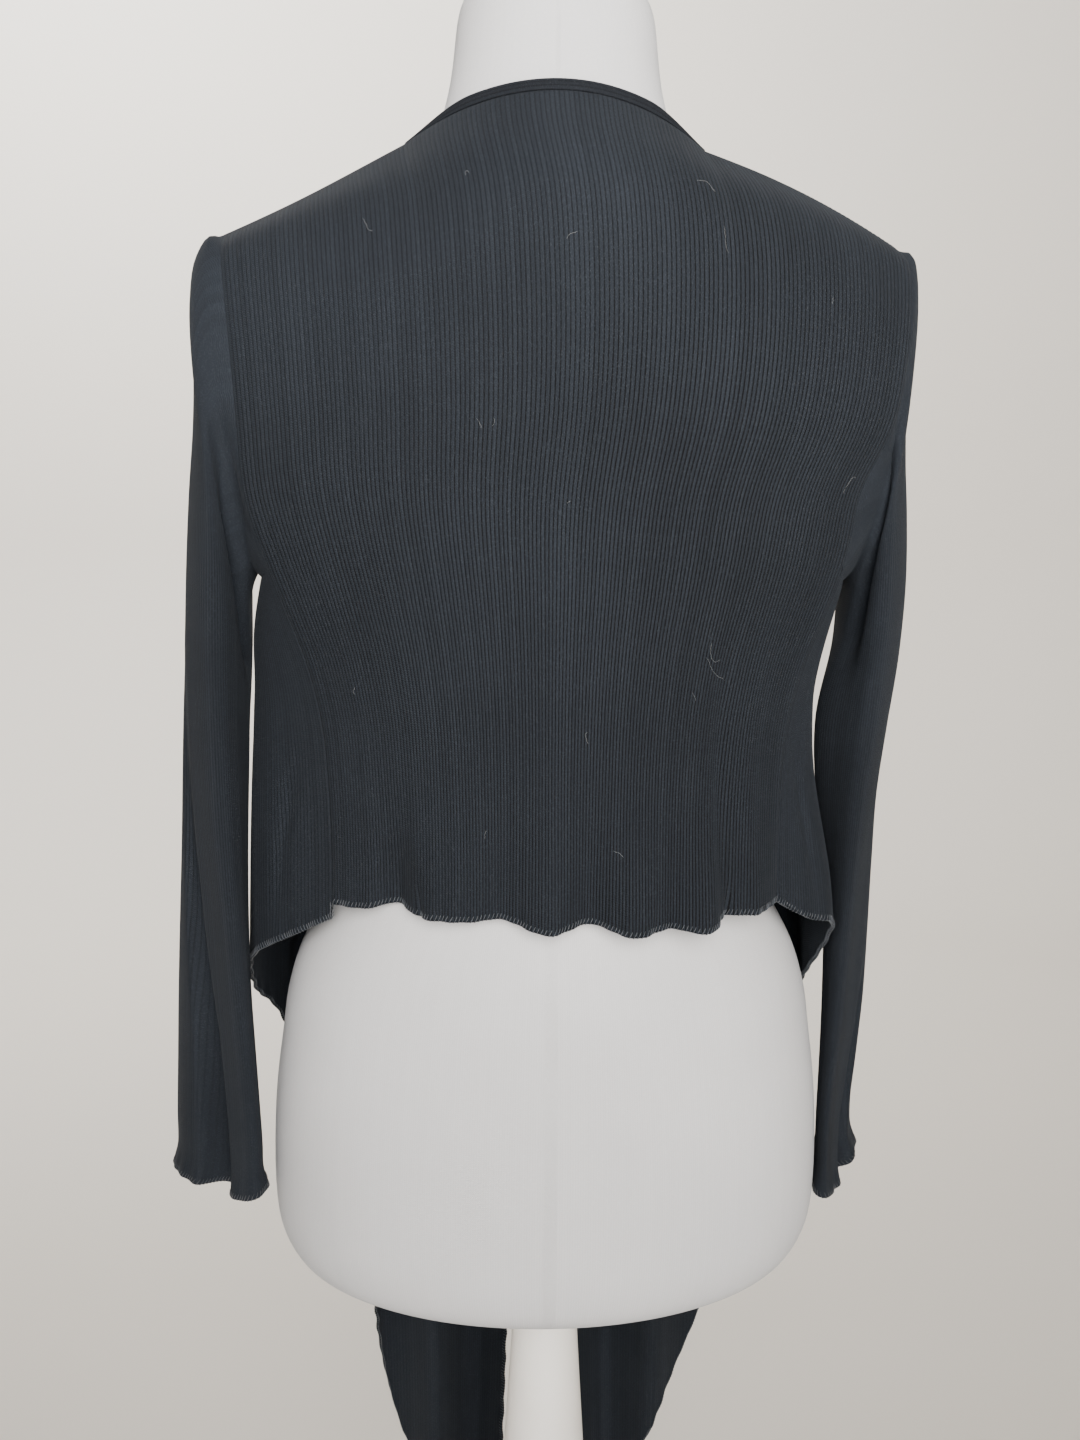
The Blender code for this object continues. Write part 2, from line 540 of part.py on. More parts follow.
def sew(seams):
    """Mitre the walls of sewn pieces and draw them back from each seam by half its gap.

    Each seam lists its pieces, each with the grid cells along the seam in the same order.
    """
    shared = {}
    for pieces, cells_of in seams:
        for piece, cells in zip(pieces, cells_of):
            for cell in cells:
                shared.setdefault(piece.place(cell), {})[piece.name] = piece.normal[cell]
    for pieces, cells_of in seams:
        line = np.array([pieces[0].grid[cell] for cell in cells_of[0]])
        tangent = np.gradient(line, axis=0)
        tangent /= np.linalg.norm(tangent, axis=-1, keepdims=True)
        for piece, cells in zip(pieces, cells_of):
            for cell, along in zip(cells, tangent):
                together = sum(shared[piece.place(cell)].values())
                together = together / np.linalg.norm(together)
                stretch = min(1 / max(float(together @ piece.normal[cell]), 0.3), MITRE_LIMIT)
                piece.offset[cell] = together * stretch * WALL / 2
                square = np.cross(along, together)
                square /= np.linalg.norm(square)
                inwards = piece.grid[inner_cell(piece, cell, cells)] - piece.grid[cell]
                piece.shift[cell] += math.copysign(SEAM_GAP / 2, float(square @ inwards)) * square


def inner_cell(piece, cell, cells):
    """Give the neighbour of a seam's cell that lies inside the piece, off the seam."""
    rows, columns = piece.grid.shape[:2]
    along_row = cells[0][0] == cells[-1][0] and cells[0][1] != cells[-1][1]
    if piece.closed or rows == 2:
        return (1, cell[1])
    if along_row:
        return (cell[0] - 1, cell[1] + (1 if cell[1] < columns / 2 else -1))
    return (cell[0], 1 if cell[1] == 0 else columns - 2)


def finish_of(name, roughness):
    """Make the plain finish of one material."""
    material = bpy.data.materials.get(name)
    if material is None:
        material = bpy.data.materials.new(name)
        material.use_nodes = True
        shader = material.node_tree.nodes["Principled BSDF"]
        shader.inputs["Base Color"].default_value = (*COLOURS[name], 1.0)
        shader.inputs["Roughness"].default_value = roughness
        shader.inputs["Metallic"].default_value = 0.0
    return material


def add_object(name, points, faces, material):
    """Make one object from points and faces, shaded smooth but for its rims."""
    mesh = bpy.data.meshes.new(name)
    mesh.from_pydata([tuple(p) for p in points], [], faces)
    mesh.materials.append(material)
    mesh.shade_smooth()
    mesh.set_sharp_from_angle(angle=math.radians(50))
    made = bpy.data.objects.new(name, mesh)
    bpy.context.collection.objects.link(made)
    return made


def stacked_rings(rings):
    """Close a stack of rings, bottom first, with flat ends."""
    count = len(rings[0])
    points = [p for ring in rings for p in ring]
    faces = []
    for r in range(len(rings) - 1):
        for c in range(count):
            a, b = r * count + c, r * count + (c + 1) % count
            faces.append((a, b, b + count, a + count))
    faces.append(tuple(reversed(range(count))))
    faces.append(tuple(range((len(rings) - 1) * count, len(rings) * count)))
    return points, faces


def build_form(material):
    """Build the dress form: body, shoulders and neck without limbs, with flat ends."""
    angles = np.arange(FORM_SIDES) * 2 * math.pi / FORM_SIDES
    rings = []
    for level in FORM_LEVELS:
        power = 2 / level.round
        x = level.half_width * np.sign(np.cos(angles)) * np.abs(np.cos(angles)) ** power
        y = level.half_depth * np.sign(np.sin(angles)) * np.abs(np.sin(angles)) ** power
        rings.append(np.stack([x, y, np.full_like(x, level.z)], axis=-1))
    return add_object("dress_form", *stacked_rings(rings), material)


def build_turned(name, profile, material):
    """Build a turned piece of the stand from its profile, given top to bottom."""
    angles = np.arange(STAND_SIDES) * 2 * math.pi / STAND_SIDES
    rings = []
    for z, radius in reversed(profile):
        x = radius * np.cos(angles)
        y = radius * np.sin(angles)
        rings.append(np.stack([x, y, np.full_like(x, z)], axis=-1))
    return add_object(name, *stacked_rings(rings), material)


def spread_across(stops):
    """Join evenly divided stretches: each stop is where a stretch ends and its count."""
    shares = [stops[0][0]]
    for (start, _), (end, count) in zip(stops, stops[1:]):
        shares.extend(start + (end - start) * (i + 1) / count for i in range(count))
    return np.array(shares)


def main():
    """Remove what the scene holds and build the garment, the form and the stand."""
    for old in list(bpy.data.objects):
        bpy.data.objects.remove(old, do_unlink=True)
    knit = finish_of("rib knit", 0.9)
    cover = finish_of("form cover", 0.85)
    paint = finish_of("painted wood", 0.45)

    neck = NECK_HALF / SHOULDER_HALF
    across = spread_across(
        [
            (-1.0, 0),
            (-neck, SHOULDER_COLUMNS),
            (neck, 2 * BACK_HALF_NECK_COLUMNS),
            (1.0, SHOULDER_COLUMNS),
        ]
    )
    levels = spread_across([(0.0, 0), (UNDERARM_LEVEL, BACK_SIDE_ROWS), (1.0, BACK_ARMHOLE_ROWS)])
    back = Cloth("back_panel", back_points(across, levels), 1)
    top, side_top = len(levels) - 1, BACK_SIDE_ROWS
    last = len(across) - 1

    shoulder = ARMHOLE_FRONT[-1].across, FREE_EDGE[0].across
    share = spread_across(
        [
            (0.0, 0),
            (UNDERARM_SHARE, FRONT_UNDERARM_COLUMNS),
            (shoulder[0], FRONT_ARMHOLE_COLUMNS),
            (shoulder[1], SHOULDER_COLUMNS),
            (1.0, FRONT_EDGE_COLUMNS),
        ]
    )
    arm = FRONT_UNDERARM_COLUMNS + FRONT_ARMHOLE_COLUMNS
    seams = []
    pieces = [back]
    for side, word, table in ((-1, "left", LEFT_SLEEVE), (1, "right", RIGHT_SLEEVE)):
        grid = front_points(side, share, BACK_SIDE_ROWS)
        edge = 0 if side < 0 else last
        step = 1 if side < 0 else -1
        shoulder_back = [(top, edge + step * i) for i in range(SHOULDER_COLUMNS + 1)]
        shoulder_front = [(BACK_SIDE_ROWS, arm + i) for i in range(SHOULDER_COLUMNS + 1)]
        for theirs, own in zip(shoulder_back, shoulder_front):
            grid[own] = back.grid[theirs]
        front = Cloth(f"front_{word}", grid, side)
        arm_back = [(r, edge) for r in range(top, side_top, -1)]
        arm_front = [(BACK_SIDE_ROWS, c) for c in range(0, arm)]
        loop = np.array([back.grid[cell] for cell in arm_back] + [front.grid[cell] for cell in arm_front])
        sleeve = Cloth(f"sleeve_{word}", sleeve_points(side, table, loop), side, closed=True)
        ring = [(0, c) for c in range(len(loop))]
        seams.append(((back, front), (shoulder_back, shoulder_front)))
        side_seam = [(r, 0) for r in range(BACK_SIDE_ROWS + 1)]
        seams.append(((back, front), ([(r, edge) for r in range(side_top + 1)], side_seam)))
        seams.append(((back, sleeve), (arm_back + [(side_top, edge)], ring[: len(arm_back) + 1])))
        front_run = [(BACK_SIDE_ROWS, c) for c in range(0, arm + 1)]
        seams.append(((front, sleeve), (front_run, ring[len(arm_back) :] + [ring[0]])))
        pieces += [front, sleeve]

    neck_cells = [(top, c) for c in range(SHOULDER_COLUMNS, last - SHOULDER_COLUMNS + 1)]
    foot = np.array([back.grid[cell] for cell in neck_cells])
    upper = foot + np.array([0.0, BAND_LEAN, BAND_HEIGHT])
    band = Cloth("neck_band", np.array([foot, upper]), 1)
    seams.append(((back, band), (neck_cells, [(0, c) for c in range(len(foot))])))
    pieces.append(band)

    sew(seams)
    for end, beside in ((0, 1), (-1, -2)):
        inwards = band.grid[:, beside] - band.grid[:, end]
        band.shift[:, end] += inwards / np.linalg.norm(inwards, axis=-1, keepdims=True) * BAND_END_TRIM
    for piece in pieces:
        add_object(piece.name, *piece.wall(), knit)
    build_form(cover)
    build_turned("stand_pole", POLE_PROFILE, paint)
    build_turned("stand_base", BASE_PROFILE, paint)


if __name__ == "__main__":
    main()
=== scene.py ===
"""Looks of an open cardigan in fine rib knit, worn by a limbless dress form on a stand.

The walls of cloth follow the same tables as the solids, divided finely enough to carry every
rib. Each wall has a ribbed outer skin over a plain inner one. Overlocked edges, seams, the
form's cover, the stand and lint are pieces of their own. Metres, +Z up, back towards -Y.
"""

from __future__ import annotations

import logging
import math
from collections import namedtuple
from dataclasses import dataclass, field
from enum import Enum
from typing import Sequence, Union

import bpy
import numpy as np
from mathutils import Matrix, Vector

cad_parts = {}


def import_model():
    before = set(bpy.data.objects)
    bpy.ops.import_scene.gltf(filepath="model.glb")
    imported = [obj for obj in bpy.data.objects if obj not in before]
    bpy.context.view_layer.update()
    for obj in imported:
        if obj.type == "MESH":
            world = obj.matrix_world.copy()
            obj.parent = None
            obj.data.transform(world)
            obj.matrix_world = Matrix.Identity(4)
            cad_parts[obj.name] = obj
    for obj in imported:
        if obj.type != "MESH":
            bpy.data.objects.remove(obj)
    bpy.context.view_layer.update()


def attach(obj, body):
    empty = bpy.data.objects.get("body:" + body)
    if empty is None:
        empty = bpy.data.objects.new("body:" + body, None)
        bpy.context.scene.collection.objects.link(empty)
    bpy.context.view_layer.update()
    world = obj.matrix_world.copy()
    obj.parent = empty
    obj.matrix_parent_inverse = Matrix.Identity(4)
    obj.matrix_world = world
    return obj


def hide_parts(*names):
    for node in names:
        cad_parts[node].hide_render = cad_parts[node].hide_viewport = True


log = logging.getLogger("scene")

MM = 0.001
Array = np.ndarray
Colour = tuple[float, float, float, float]
Setting = Union[float, tuple, bpy.types.NodeSocket]

# Sizes shared with the solids
WALL = 1.4 * MM
NECK_HALF = 86 * MM
SHOULDER_HALF = 198 * MM
SHOULDER_BOW = {-1: -1.5 * MM, 1: 5 * MM}
BAND_HEIGHT = 7.2 * MM
BAND_LEAN = 2.2 * MM
CLOTH_SHIFT = -2.5 * MM
FORM_UNDERSIDE = 728.5 * MM
STAND_GAP = 0.3 * MM
BASE_HEIGHT = 52 * MM

# How far each wall is drawn back from the line of its seam
SEAM_HALF_GAP = 0.05 * MM
# Attribute of a knitted mesh: how clearly its ribs stand at a point, which sets how dark the painted shade
# in their grooves is
RIB_SHARE = "rib_share"

# The knit: ribs of each piece, columns of points that make one rib, and levels up the piece
BACK_RIBS, BACK_RIB_COLUMNS, BACK_ROWS = 153, 4, 112
FRONT_RIBS, FRONT_RIB_COLUMNS, FRONT_ROWS = 168, 3, 112
SLEEVE_RIBS, SLEEVE_RIB_COLUMNS, SLEEVE_ROWS = 104, 4, 158
# How clearly the ribs show on the cloth's inside, where they are only painted shade in the grooves, as a
# share of the outside
INSIDE_CLARITY = 0.4
# Shape of a rib's section: how full its crest is, and the height at which the wall is even
RIB_FULLNESS = 0.8
RIB_MIDDLE = 0.45
# How far in from an overlocked edge the ribs are pressed flat, and how thick it is there
ROLLED_EDGE = 3.6 * MM
ROLLED_STAND = 0.12 * MM
# The furrow along a seam, where the ribs sink into it
SEAM_FURROW = 3.2 * MM
SEAM_SINK = 0.55 * MM


class Side(Enum):
    """A side of the garment as seen from behind."""

    LEFT = -1
    RIGHT = 1

    @property
    def word(self) -> str:
        """Name the side in a piece's name."""
        return self.name.lower()


class Edge(Enum):
    """An edge of a grid of points: its first or last row or column."""

    FIRST_ROW = "first row"
    LAST_ROW = "last row"
    FIRST_COLUMN = "first column"
    LAST_COLUMN = "last column"


# The garment's middle leans to the right towards the shoulders: height, sideways shift
LEAN = [
    (0.40, 0.0037),
    (0.98, 0.0037),
    (1.15, 0.0040),
    (1.20, 0.0048),
    (1.25, 0.0096),
    (1.32, 0.0104),
    (1.36, 0.0085),
    (1.40, 0.0030),
    (1.43, 0.0020),
]

# The back from hem to shoulder line, as in the solids
BackLevel = namedtuple("BackLevel", "edge_x edge_y edge_z middle_y middle_z neck")
BACK_LEVELS = [
    BackLevel(0.1277, -0.0600, 0.977, -0.1050, 0.977, 0.0),
    BackLevel(0.1277, -0.0585, 1.010, -0.1060, 1.012, 0.0),
    BackLevel(0.1290, -0.0565, 1.045, -0.1065, 1.050, 0.0),
    BackLevel(0.1325, -0.0540, 1.080, -0.1075, 1.088, 0.0),
    BackLevel(0.1405, -0.0510, 1.112, -0.1090, 1.124, 0.0),
    BackLevel(0.1520, -0.0480, 1.141, -0.1110, 1.158, 0.0),
    BackLevel(0.1630, -0.0450, 1.168, -0.1130, 1.190, 0.0),
    BackLevel(0.1755, -0.0480, 1.205, -0.1145, 1.232, 0.0),
    BackLevel(0.1830, -0.0480, 1.243, -0.1145, 1.273, 0.0),
    BackLevel(0.1875, -0.0460, 1.280, -0.1110, 1.312, 0.05),
    BackLevel(0.1910, -0.0400, 1.313, -0.1030, 1.347, 0.2),
    BackLevel(0.1942, -0.0260, 1.340, -0.0870, 1.382, 0.5),
    BackLevel(0.1980, 0.0100, 1.357, -0.0580, 1.4195, 1.0),
]
UNDERARM_LEVEL = 6 / 12
RIGHT_TUCK = 8 * MM
RIGHT_TUCK_AT = 1.212
RIGHT_TUCK_SPREAD = 0.028
BACK_ROUNDNESS = 2.4
NECK_POINT = (-0.0030, 1.4060)

HemWave = namedtuple("HemWave", "across out rise")
HEM_WAVES = [
    HemWave(-0.1277, 0.000, 0.000),
    HemWave(-0.1080, 0.002, 0.001),
    HemWave(-0.0880, 0.011, 0.004),
    HemWave(-0.0780, 0.001, 0.001),
    HemWave(-0.0640, -0.003, 0.001),
    HemWave(-0.0480, 0.000, 0.001),
    HemWave(-0.0340, 0.005, 0.002),
    HemWave(-0.0060, -0.009, -0.003),
    HemWave(0.0150, 0.003, 0.000),
    HemWave(0.0400, -0.014, -0.004),
    HemWave(0.0580, -0.007, -0.002),
    HemWave(0.0820, -0.020, -0.003),
    HemWave(0.0940, -0.008, 0.000),
    HemWave(0.1120, -0.012, 0.000),
    HemWave(0.1277, 0.000, 0.000),
]
HEM_WAVE_REACH = 0.095

# Each front in plan, a row for each height, as in the solids
FrontLevel = namedtuple(
    "FrontLevel", "z side_x side_y flank_x flank_y corner_x corner_y fold_x fold_y edge_x edge_y folds"
)
LEFT_FRONT = [
    FrontLevel(0.40, 0.170, -0.010, 0.172, 0.040, 0.144, 0.092, 0.105, 0.142, 0.030, 0.152, 0.015),
    FrontLevel(0.60, 0.174, -0.010, 0.178, 0.040, 0.150, 0.092, 0.109, 0.146, 0.024, 0.156, 0.018),
    FrontLevel(0.80, 0.180, -0.010, 0.186, 0.040, 0.170, 0.090, 0.120, 0.142, 0.026, 0.152, 0.020),
    FrontLevel(0.90, 0.1805, -0.010, 0.190, 0.045, 0.174, 0.090, 0.118, 0.140, 0.028, 0.150, 0.019),
    FrontLevel(0.977, 0.1800, -0.012, 0.182, 0.035, 0.166, 0.082, 0.114, 0.136, 0.032, 0.147, 0.017),
    FrontLevel(1.060, 0.1772, -0.010, 0.1770, 0.034, 0.156, 0.079, 0.112, 0.130, 0.040, 0.143, 0.014),
    FrontLevel(1.120, 0.1745, -0.004, 0.1735, 0.042, 0.154, 0.078, 0.112, 0.126, 0.047, 0.140, 0.011),
    FrontLevel(1.168, 0.1650, 0.004, 0.1665, 0.052, 0.155, 0.079, 0.114, 0.122, 0.053, 0.137, 0.008),
    FrontLevel(1.250, 0.174, 0.010, 0.1755, 0.054, 0.160, 0.076, 0.116, 0.114, 0.060, 0.128, 0.006),
    FrontLevel(1.320, 0.184, 0.010, 0.186, 0.042, 0.174, 0.058, 0.116, 0.090, 0.068, 0.108, 0.004),
    FrontLevel(1.360, 0.192, 0.003, 0.190, 0.020, 0.180, 0.032, 0.110, 0.062, 0.074, 0.082, 0.002),
    FrontLevel(1.406, 0.196, 0.004, 0.194, 0.008, 0.180, 0.010, 0.100, 0.016, 0.080, 0.030, 0.0),
]
RIGHT_FRONT = [
    FrontLevel(0.40, 0.168, -0.038, 0.160, 0.020, 0.150, 0.088, 0.114, 0.142, 0.030, 0.152, 0.015),
    FrontLevel(0.60, 0.170, -0.038, 0.164, 0.020, 0.154, 0.088, 0.117, 0.146, 0.024, 0.156, 0.018),
    FrontLevel(0.80, 0.172, -0.038, 0.167, 0.020, 0.174, 0.084, 0.120, 0.142, 0.026, 0.152, 0.020),
    FrontLevel(0.90, 0.171, -0.038, 0.167, 0.020, 0.178, 0.080, 0.118, 0.140, 0.028, 0.150, 0.019),
    FrontLevel(0.977, 0.166, -0.036, 0.164, 0.020, 0.166, 0.078, 0.114, 0.136, 0.032, 0.147, 0.017),
    FrontLevel(1.060, 0.154, -0.026, 0.161, 0.026, 0.155, 0.077, 0.112, 0.130, 0.040, 0.143, 0.014),
    FrontLevel(1.120, 0.158, -0.012, 0.164, 0.038, 0.154, 0.077, 0.112, 0.126, 0.047, 0.140, 0.011),
    FrontLevel(1.168, 0.1650, 0.004, 0.1665, 0.052, 0.155, 0.079, 0.114, 0.122, 0.053, 0.137, 0.008),
] + LEFT_FRONT[8:]
STATIONS = (0.0, 0.16, 0.30, 0.45, 0.70, 1.0)
FOLD_START = 0.42
FOLDS_ACROSS = 2.6
RIGHT_FOLD_TURN = 0.5
ARMHOLE_EASE = 75 * MM
SHOULDER_EASE = 48 * MM

TopPoint = namedtuple("TopPoint", "across x y z")
ARMHOLE_FRONT = [
    TopPoint(0.00, 0.1630, -0.0450, 1.168),
    TopPoint(0.08, 0.1700, -0.0200, 1.161),
    TopPoint(0.16, 0.1745, 0.0080, 1.162),
    TopPoint(0.24, 0.1760, 0.0360, 1.180),
    TopPoint(0.30, 0.1765, 0.0520, 1.215),
    TopPoint(0.34, 0.1795, 0.0545, 1.262),
    TopPoint(0.37, 0.1850, 0.0450, 1.306),
    TopPoint(0.39, 0.1925, 0.0270, 1.340),
    TopPoint(0.40, 0.1980, 0.0100, 1.357),
]
FREE_EDGE = [
    TopPoint(0.64, NECK_HALF, *NECK_POINT),
    TopPoint(0.70, 0.0835, 0.0300, 1.392),
    TopPoint(0.78, 0.0760, 0.0720, 1.345),
    TopPoint(0.86, 0.0685, 0.1040, 1.285),
    TopPoint(0.93, 0.0610, 0.1260, 1.222),
    TopPoint(1.00, 0.0540, 0.1365, 1.170),
]

HemPoint = namedtuple("HemPoint", "across left right")
FRONT_HEM = [
    HemPoint(0.00, 0.969, 0.977),
    HemPoint(0.08, 0.950, 0.964),
    HemPoint(0.16, 0.932, 0.957),
    HemPoint(0.30, 0.890, 0.905),
    HemPoint(0.42, 0.853, 0.880),
    HemPoint(0.50, 0.790, 0.800),
    HemPoint(0.60, 0.680, 0.690),
    HemPoint(0.67, 0.585, 0.605),
    HemPoint(0.72, 0.500, 0.550),
    HemPoint(0.78, 0.455, 0.505),
    HemPoint(0.88, 0.430, 0.455),
    HemPoint(1.00, 0.420, 0.430),
]

Ring = namedtuple("Ring", "outer_x outer_z inner_x inner_z y half_depth turn dent")
LEFT_SLEEVE = [
    Ring(0.1955, 1.353, 0.1730, 1.1630, 0.003, 0.0490, 0, 0.000),
    Ring(0.2015, 1.343, 0.1755, 1.1580, 0.002, 0.0485, 0, 0.001),
    Ring(0.2042, 1.325, 0.1780, 1.1490, 0.001, 0.0485, 0, 0.001),
    Ring(0.2030, 1.295, 0.1787, 1.1310, 0.000, 0.049, 3, 0.002),
    Ring(0.2048, 1.257, 0.1783, 1.1140, -0.001, 0.048, 7, 0.003),
    Ring(0.2090, 1.215, 0.1785, 1.0950, -0.002, 0.047, 11, 0.004),
    Ring(0.2122, 1.172, 0.1795, 1.0730, -0.003, 0.046, 14, 0.005),
    Ring(0.2145, 1.128, 0.1800, 1.0480, -0.004, 0.0455, 16, 0.006),
    Ring(0.2168, 1.082, 0.1808, 1.0200, -0.005, 0.045, 18, 0.007),
    Ring(0.2185, 1.036, 0.1817, 0.9900, -0.006, 0.0445, 20, 0.009),
    Ring(0.2200, 0.988, 0.1828, 0.9560, -0.006, 0.044, 22, 0.011),
    Ring(0.2215, 0.940, 0.1835, 0.9180, -0.006, 0.043, 24, 0.012),
    Ring(0.2225, 0.894, 0.1830, 0.8800, -0.006, 0.042, 26, 0.013),
    Ring(0.2235, 0.850, 0.1820, 0.8450, -0.006, 0.041, 27, 0.014),
    Ring(0.2245, 0.814, 0.1810, 0.8150, -0.006, 0.040, 28, 0.015),
    Ring(0.2250, 0.788, 0.1808, 0.7950, -0.006, 0.041, 28, 0.015),
    Ring(0.2265, 0.777, 0.1795, 0.7870, -0.006, 0.042, 28, 0.015),
]
RIGHT_SLEEVE = [
    Ring(0.2110, 1.3515, 0.1815, 1.1630, 0.003, 0.0490, 0, 0.000),
    Ring(0.2130, 1.339, 0.1835, 1.1580, 0.004, 0.0485, 0, 0.001),
    Ring(0.2125, 1.315, 0.1840, 1.1490, 0.005, 0.0480, 0, 0.002),
    Ring(0.2105, 1.284, 0.1840, 1.1350, 0.006, 0.047, 2, 0.003),
    Ring(0.2120, 1.250, 0.1832, 1.1180, 0.006, 0.046, 5, 0.003),
    Ring(0.2160, 1.211, 0.1820, 1.0980, 0.006, 0.045, 8, 0.004),
    Ring(0.2185, 1.170, 0.1790, 1.0740, 0.006, 0.044, 11, 0.004),
    Ring(0.2175, 1.126, 0.1780, 1.0490, 0.007, 0.0425, 13, 0.004),
    Ring(0.2130, 1.080, 0.1775, 1.0210, 0.008, 0.041, 14, 0.005),
    Ring(0.2090, 1.036, 0.1785, 0.9910, 0.009, 0.040, 15, 0.006),
    Ring(0.2085, 0.988, 0.1800, 0.9570, 0.010, 0.039, 16, 0.008),
    Ring(0.2080, 0.940, 0.1805, 0.9190, 0.010, 0.038, 17, 0.009),
    Ring(0.2065, 0.894, 0.1805, 0.8810, 0.009, 0.038, 18, 0.009),
    Ring(0.2030, 0.850, 0.1800, 0.8460, 0.008, 0.038, 18, 0.009),
    Ring(0.2000, 0.813, 0.1790, 0.8160, 0.006, 0.038, 18, 0.009),
    Ring(0.2010, 0.786, 0.1785, 0.7880, 0.005, 0.038, 18, 0.009),
    Ring(0.2030, 0.776, 0.1780, 0.7780, 0.005, 0.039, 19, 0.009),
]
DENT_AT = math.radians(52)
DENT_SPREAD = math.radians(38)
CUFF_RISE = 8 * MM
CUFF_RISE_REACH = 90 * MM

FormLevel = namedtuple("FormLevel", "z half_width half_depth round")
FORM_LEVELS = [
    FormLevel(FORM_UNDERSIDE, 0.112, 0.066, 2.0),
    FormLevel(0.7300, 0.134, 0.083, 2.0),
    FormLevel(0.7350, 0.149, 0.096, 2.0),
    FormLevel(0.7450, 0.160, 0.107, 2.0),
    FormLevel(0.7620, 0.1678, 0.1130, 2.0),
    FormLevel(0.7850, 0.1705, 0.1150, 2.0),
    FormLevel(0.8150, 0.1705, 0.1150, 2.0),
    FormLevel(0.8500, 0.1685, 0.1135, 2.0),
    FormLevel(0.8850, 0.1640, 0.1100, 2.0),
    FormLevel(0.9120, 0.1600, 0.1060, 2.0),
    FormLevel(0.9400, 0.1510, 0.1010, 2.0),
    FormLevel(0.9750, 0.1330, 0.0930, 2.0),
    FormLevel(1.0200, 0.1180, 0.0850, 2.0),
    FormLevel(1.0600, 0.1180, 0.0850, 2.0),
    FormLevel(1.1000, 0.1260, 0.0920, 2.0),
    FormLevel(1.1400, 0.1370, 0.1010, 2.0),
    FormLevel(1.1800, 0.1470, 0.1060, 2.0),
    FormLevel(1.2200, 0.1520, 0.1060, 2.0),
    FormLevel(1.2600, 0.1580, 0.1010, 1.95),
    FormLevel(1.2950, 0.1640, 0.0910, 1.85),
    FormLevel(1.3200, 0.1690, 0.0800, 1.75),
    FormLevel(1.3400, 0.1720, 0.0680, 1.65),
    FormLevel(1.3530, 0.1710, 0.0590, 1.55),
    FormLevel(1.3640, 0.1560, 0.0530, 1.5),
    FormLevel(1.3760, 0.1330, 0.0490, 1.5),
    FormLevel(1.3880, 0.1060, 0.0470, 1.6),
    FormLevel(1.4000, 0.0800, 0.0460, 1.8),
    FormLevel(1.4140, 0.0680, 0.0460, 2.0),
    FormLevel(1.4310, 0.0622, 0.0460, 2.0),
    FormLevel(1.4480, 0.0590, 0.0455, 2.0),
    FormLevel(1.4740, 0.0558, 0.0440, 2.0),
    FormLevel(1.4860, 0.0510, 0.0400, 2.0),
    FormLevel(1.4930, 0.0440, 0.0340, 2.0),
    FormLevel(1.4965, 0.0340, 0.0260, 2.0),
]
POLE_PROFILE = [
    (FORM_UNDERSIDE - STAND_GAP, 0.0185),
    (0.6740, 0.0212),
    (0.5930, 0.0261),
    (0.4000, 0.0370),
    (0.2200, 0.0480),
    (0.1000, 0.0570),
    (BASE_HEIGHT + STAND_GAP, 0.0640),
]
BASE_PROFILE = [
    (BASE_HEIGHT, 0.0640),
    (0.0500, 0.0720),
    (0.0400, 0.0900),
    (0.0300, 0.1180),
    (0.0230, 0.1450),
    (0.0170, 0.1600),
    (0.0090, 0.1650),
    (0.0020, 0.1640),
    (0.0000, 0.1620),
]


def smooth_through(knots: Sequence[float], values: Sequence, at: Sequence[float]) -> Array:
    """Read a smooth curve through a table's rows, with slopes taken from the next rows.

    Args:
        knots: Rising places of the rows.
        values: One value, or one row of values, for each knot.
        at: Places to read.

    Returns:
        The values at the places, clamped to the table's ends.
    """
    knots = np.asarray(knots, float)
    values = np.asarray(values, float)
    at = np.clip(np.asarray(at, float), knots[0], knots[-1])
    slopes = np.gradient(values, knots, axis=0)
    i = np.clip(np.searchsorted(knots, at, side="right") - 1, 0, len(knots) - 2)
    step = knots[i + 1] - knots[i]
    t = (at - knots[i]) / step
    if values.ndim > 1:
        t, step = t[..., None], step[..., None]
    return (
        (2 * t**3 - 3 * t**2 + 1) * values[i]
        + (t**3 - 2 * t**2 + t) * step * slopes[i]
        + (3 * t**2 - 2 * t**3) * values[i + 1]
        + (t**3 - t**2) * step * slopes[i + 1]
    )


def station(table: Array, index: Array) -> Array:
    """Pick one station's row from each curve of a table."""
    return np.take_along_axis(table, index[..., None, None], axis=-2)[..., 0, :]


def smooth_between(knots: Sequence[float], paths: Array, at: Array) -> Array:
    """Read a smooth curve of its own at each place of a grid.

    Args:
        knots: Rising places of the stations, the same for every curve.
        paths: The curves' points, shaped (..., stations, dimensions).
        at: The place to read on each curve, shaped (...).

    Returns:
        One point for each place of the grid.
    """
    knots = np.asarray(knots, float)
    at = np.clip(at, knots[0], knots[-1])
    slopes = np.gradient(paths, knots, axis=-2)
    i = np.clip(np.searchsorted(knots, at, side="right") - 1, 0, len(knots) - 2)
    step = (knots[i + 1] - knots[i])[..., None]
    t = (at - knots[i])[..., None] / step
    return (
        (2 * t**3 - 3 * t**2 + 1) * station(paths, i)
        + (t**3 - 2 * t**2 + t) * step * station(slopes, i)
        + (3 * t**2 - 2 * t**3) * station(paths, i + 1)
        + (t**3 - t**2) * step * station(slopes, i + 1)
    )


def fade(t: Array) -> Array:
    """Fall smoothly from 1 at t = 0 to 0 at t = 1 and beyond."""
    t = np.clip(t, 0.0, 1.0)
    return 1 - t * t * (3 - 2 * t)


def unit(vectors: Array) -> Array:
    """Scale each vector to length 1."""
    return vectors / np.maximum(np.linalg.norm(vectors, axis=-1, keepdims=True), 1e-12)


def middle_x(z: Array) -> Array:
    """Give how far the garment's middle lies to the right at a height."""
    heights, shifts = zip(*LEAN)
    return smooth_through(heights, shifts, z)


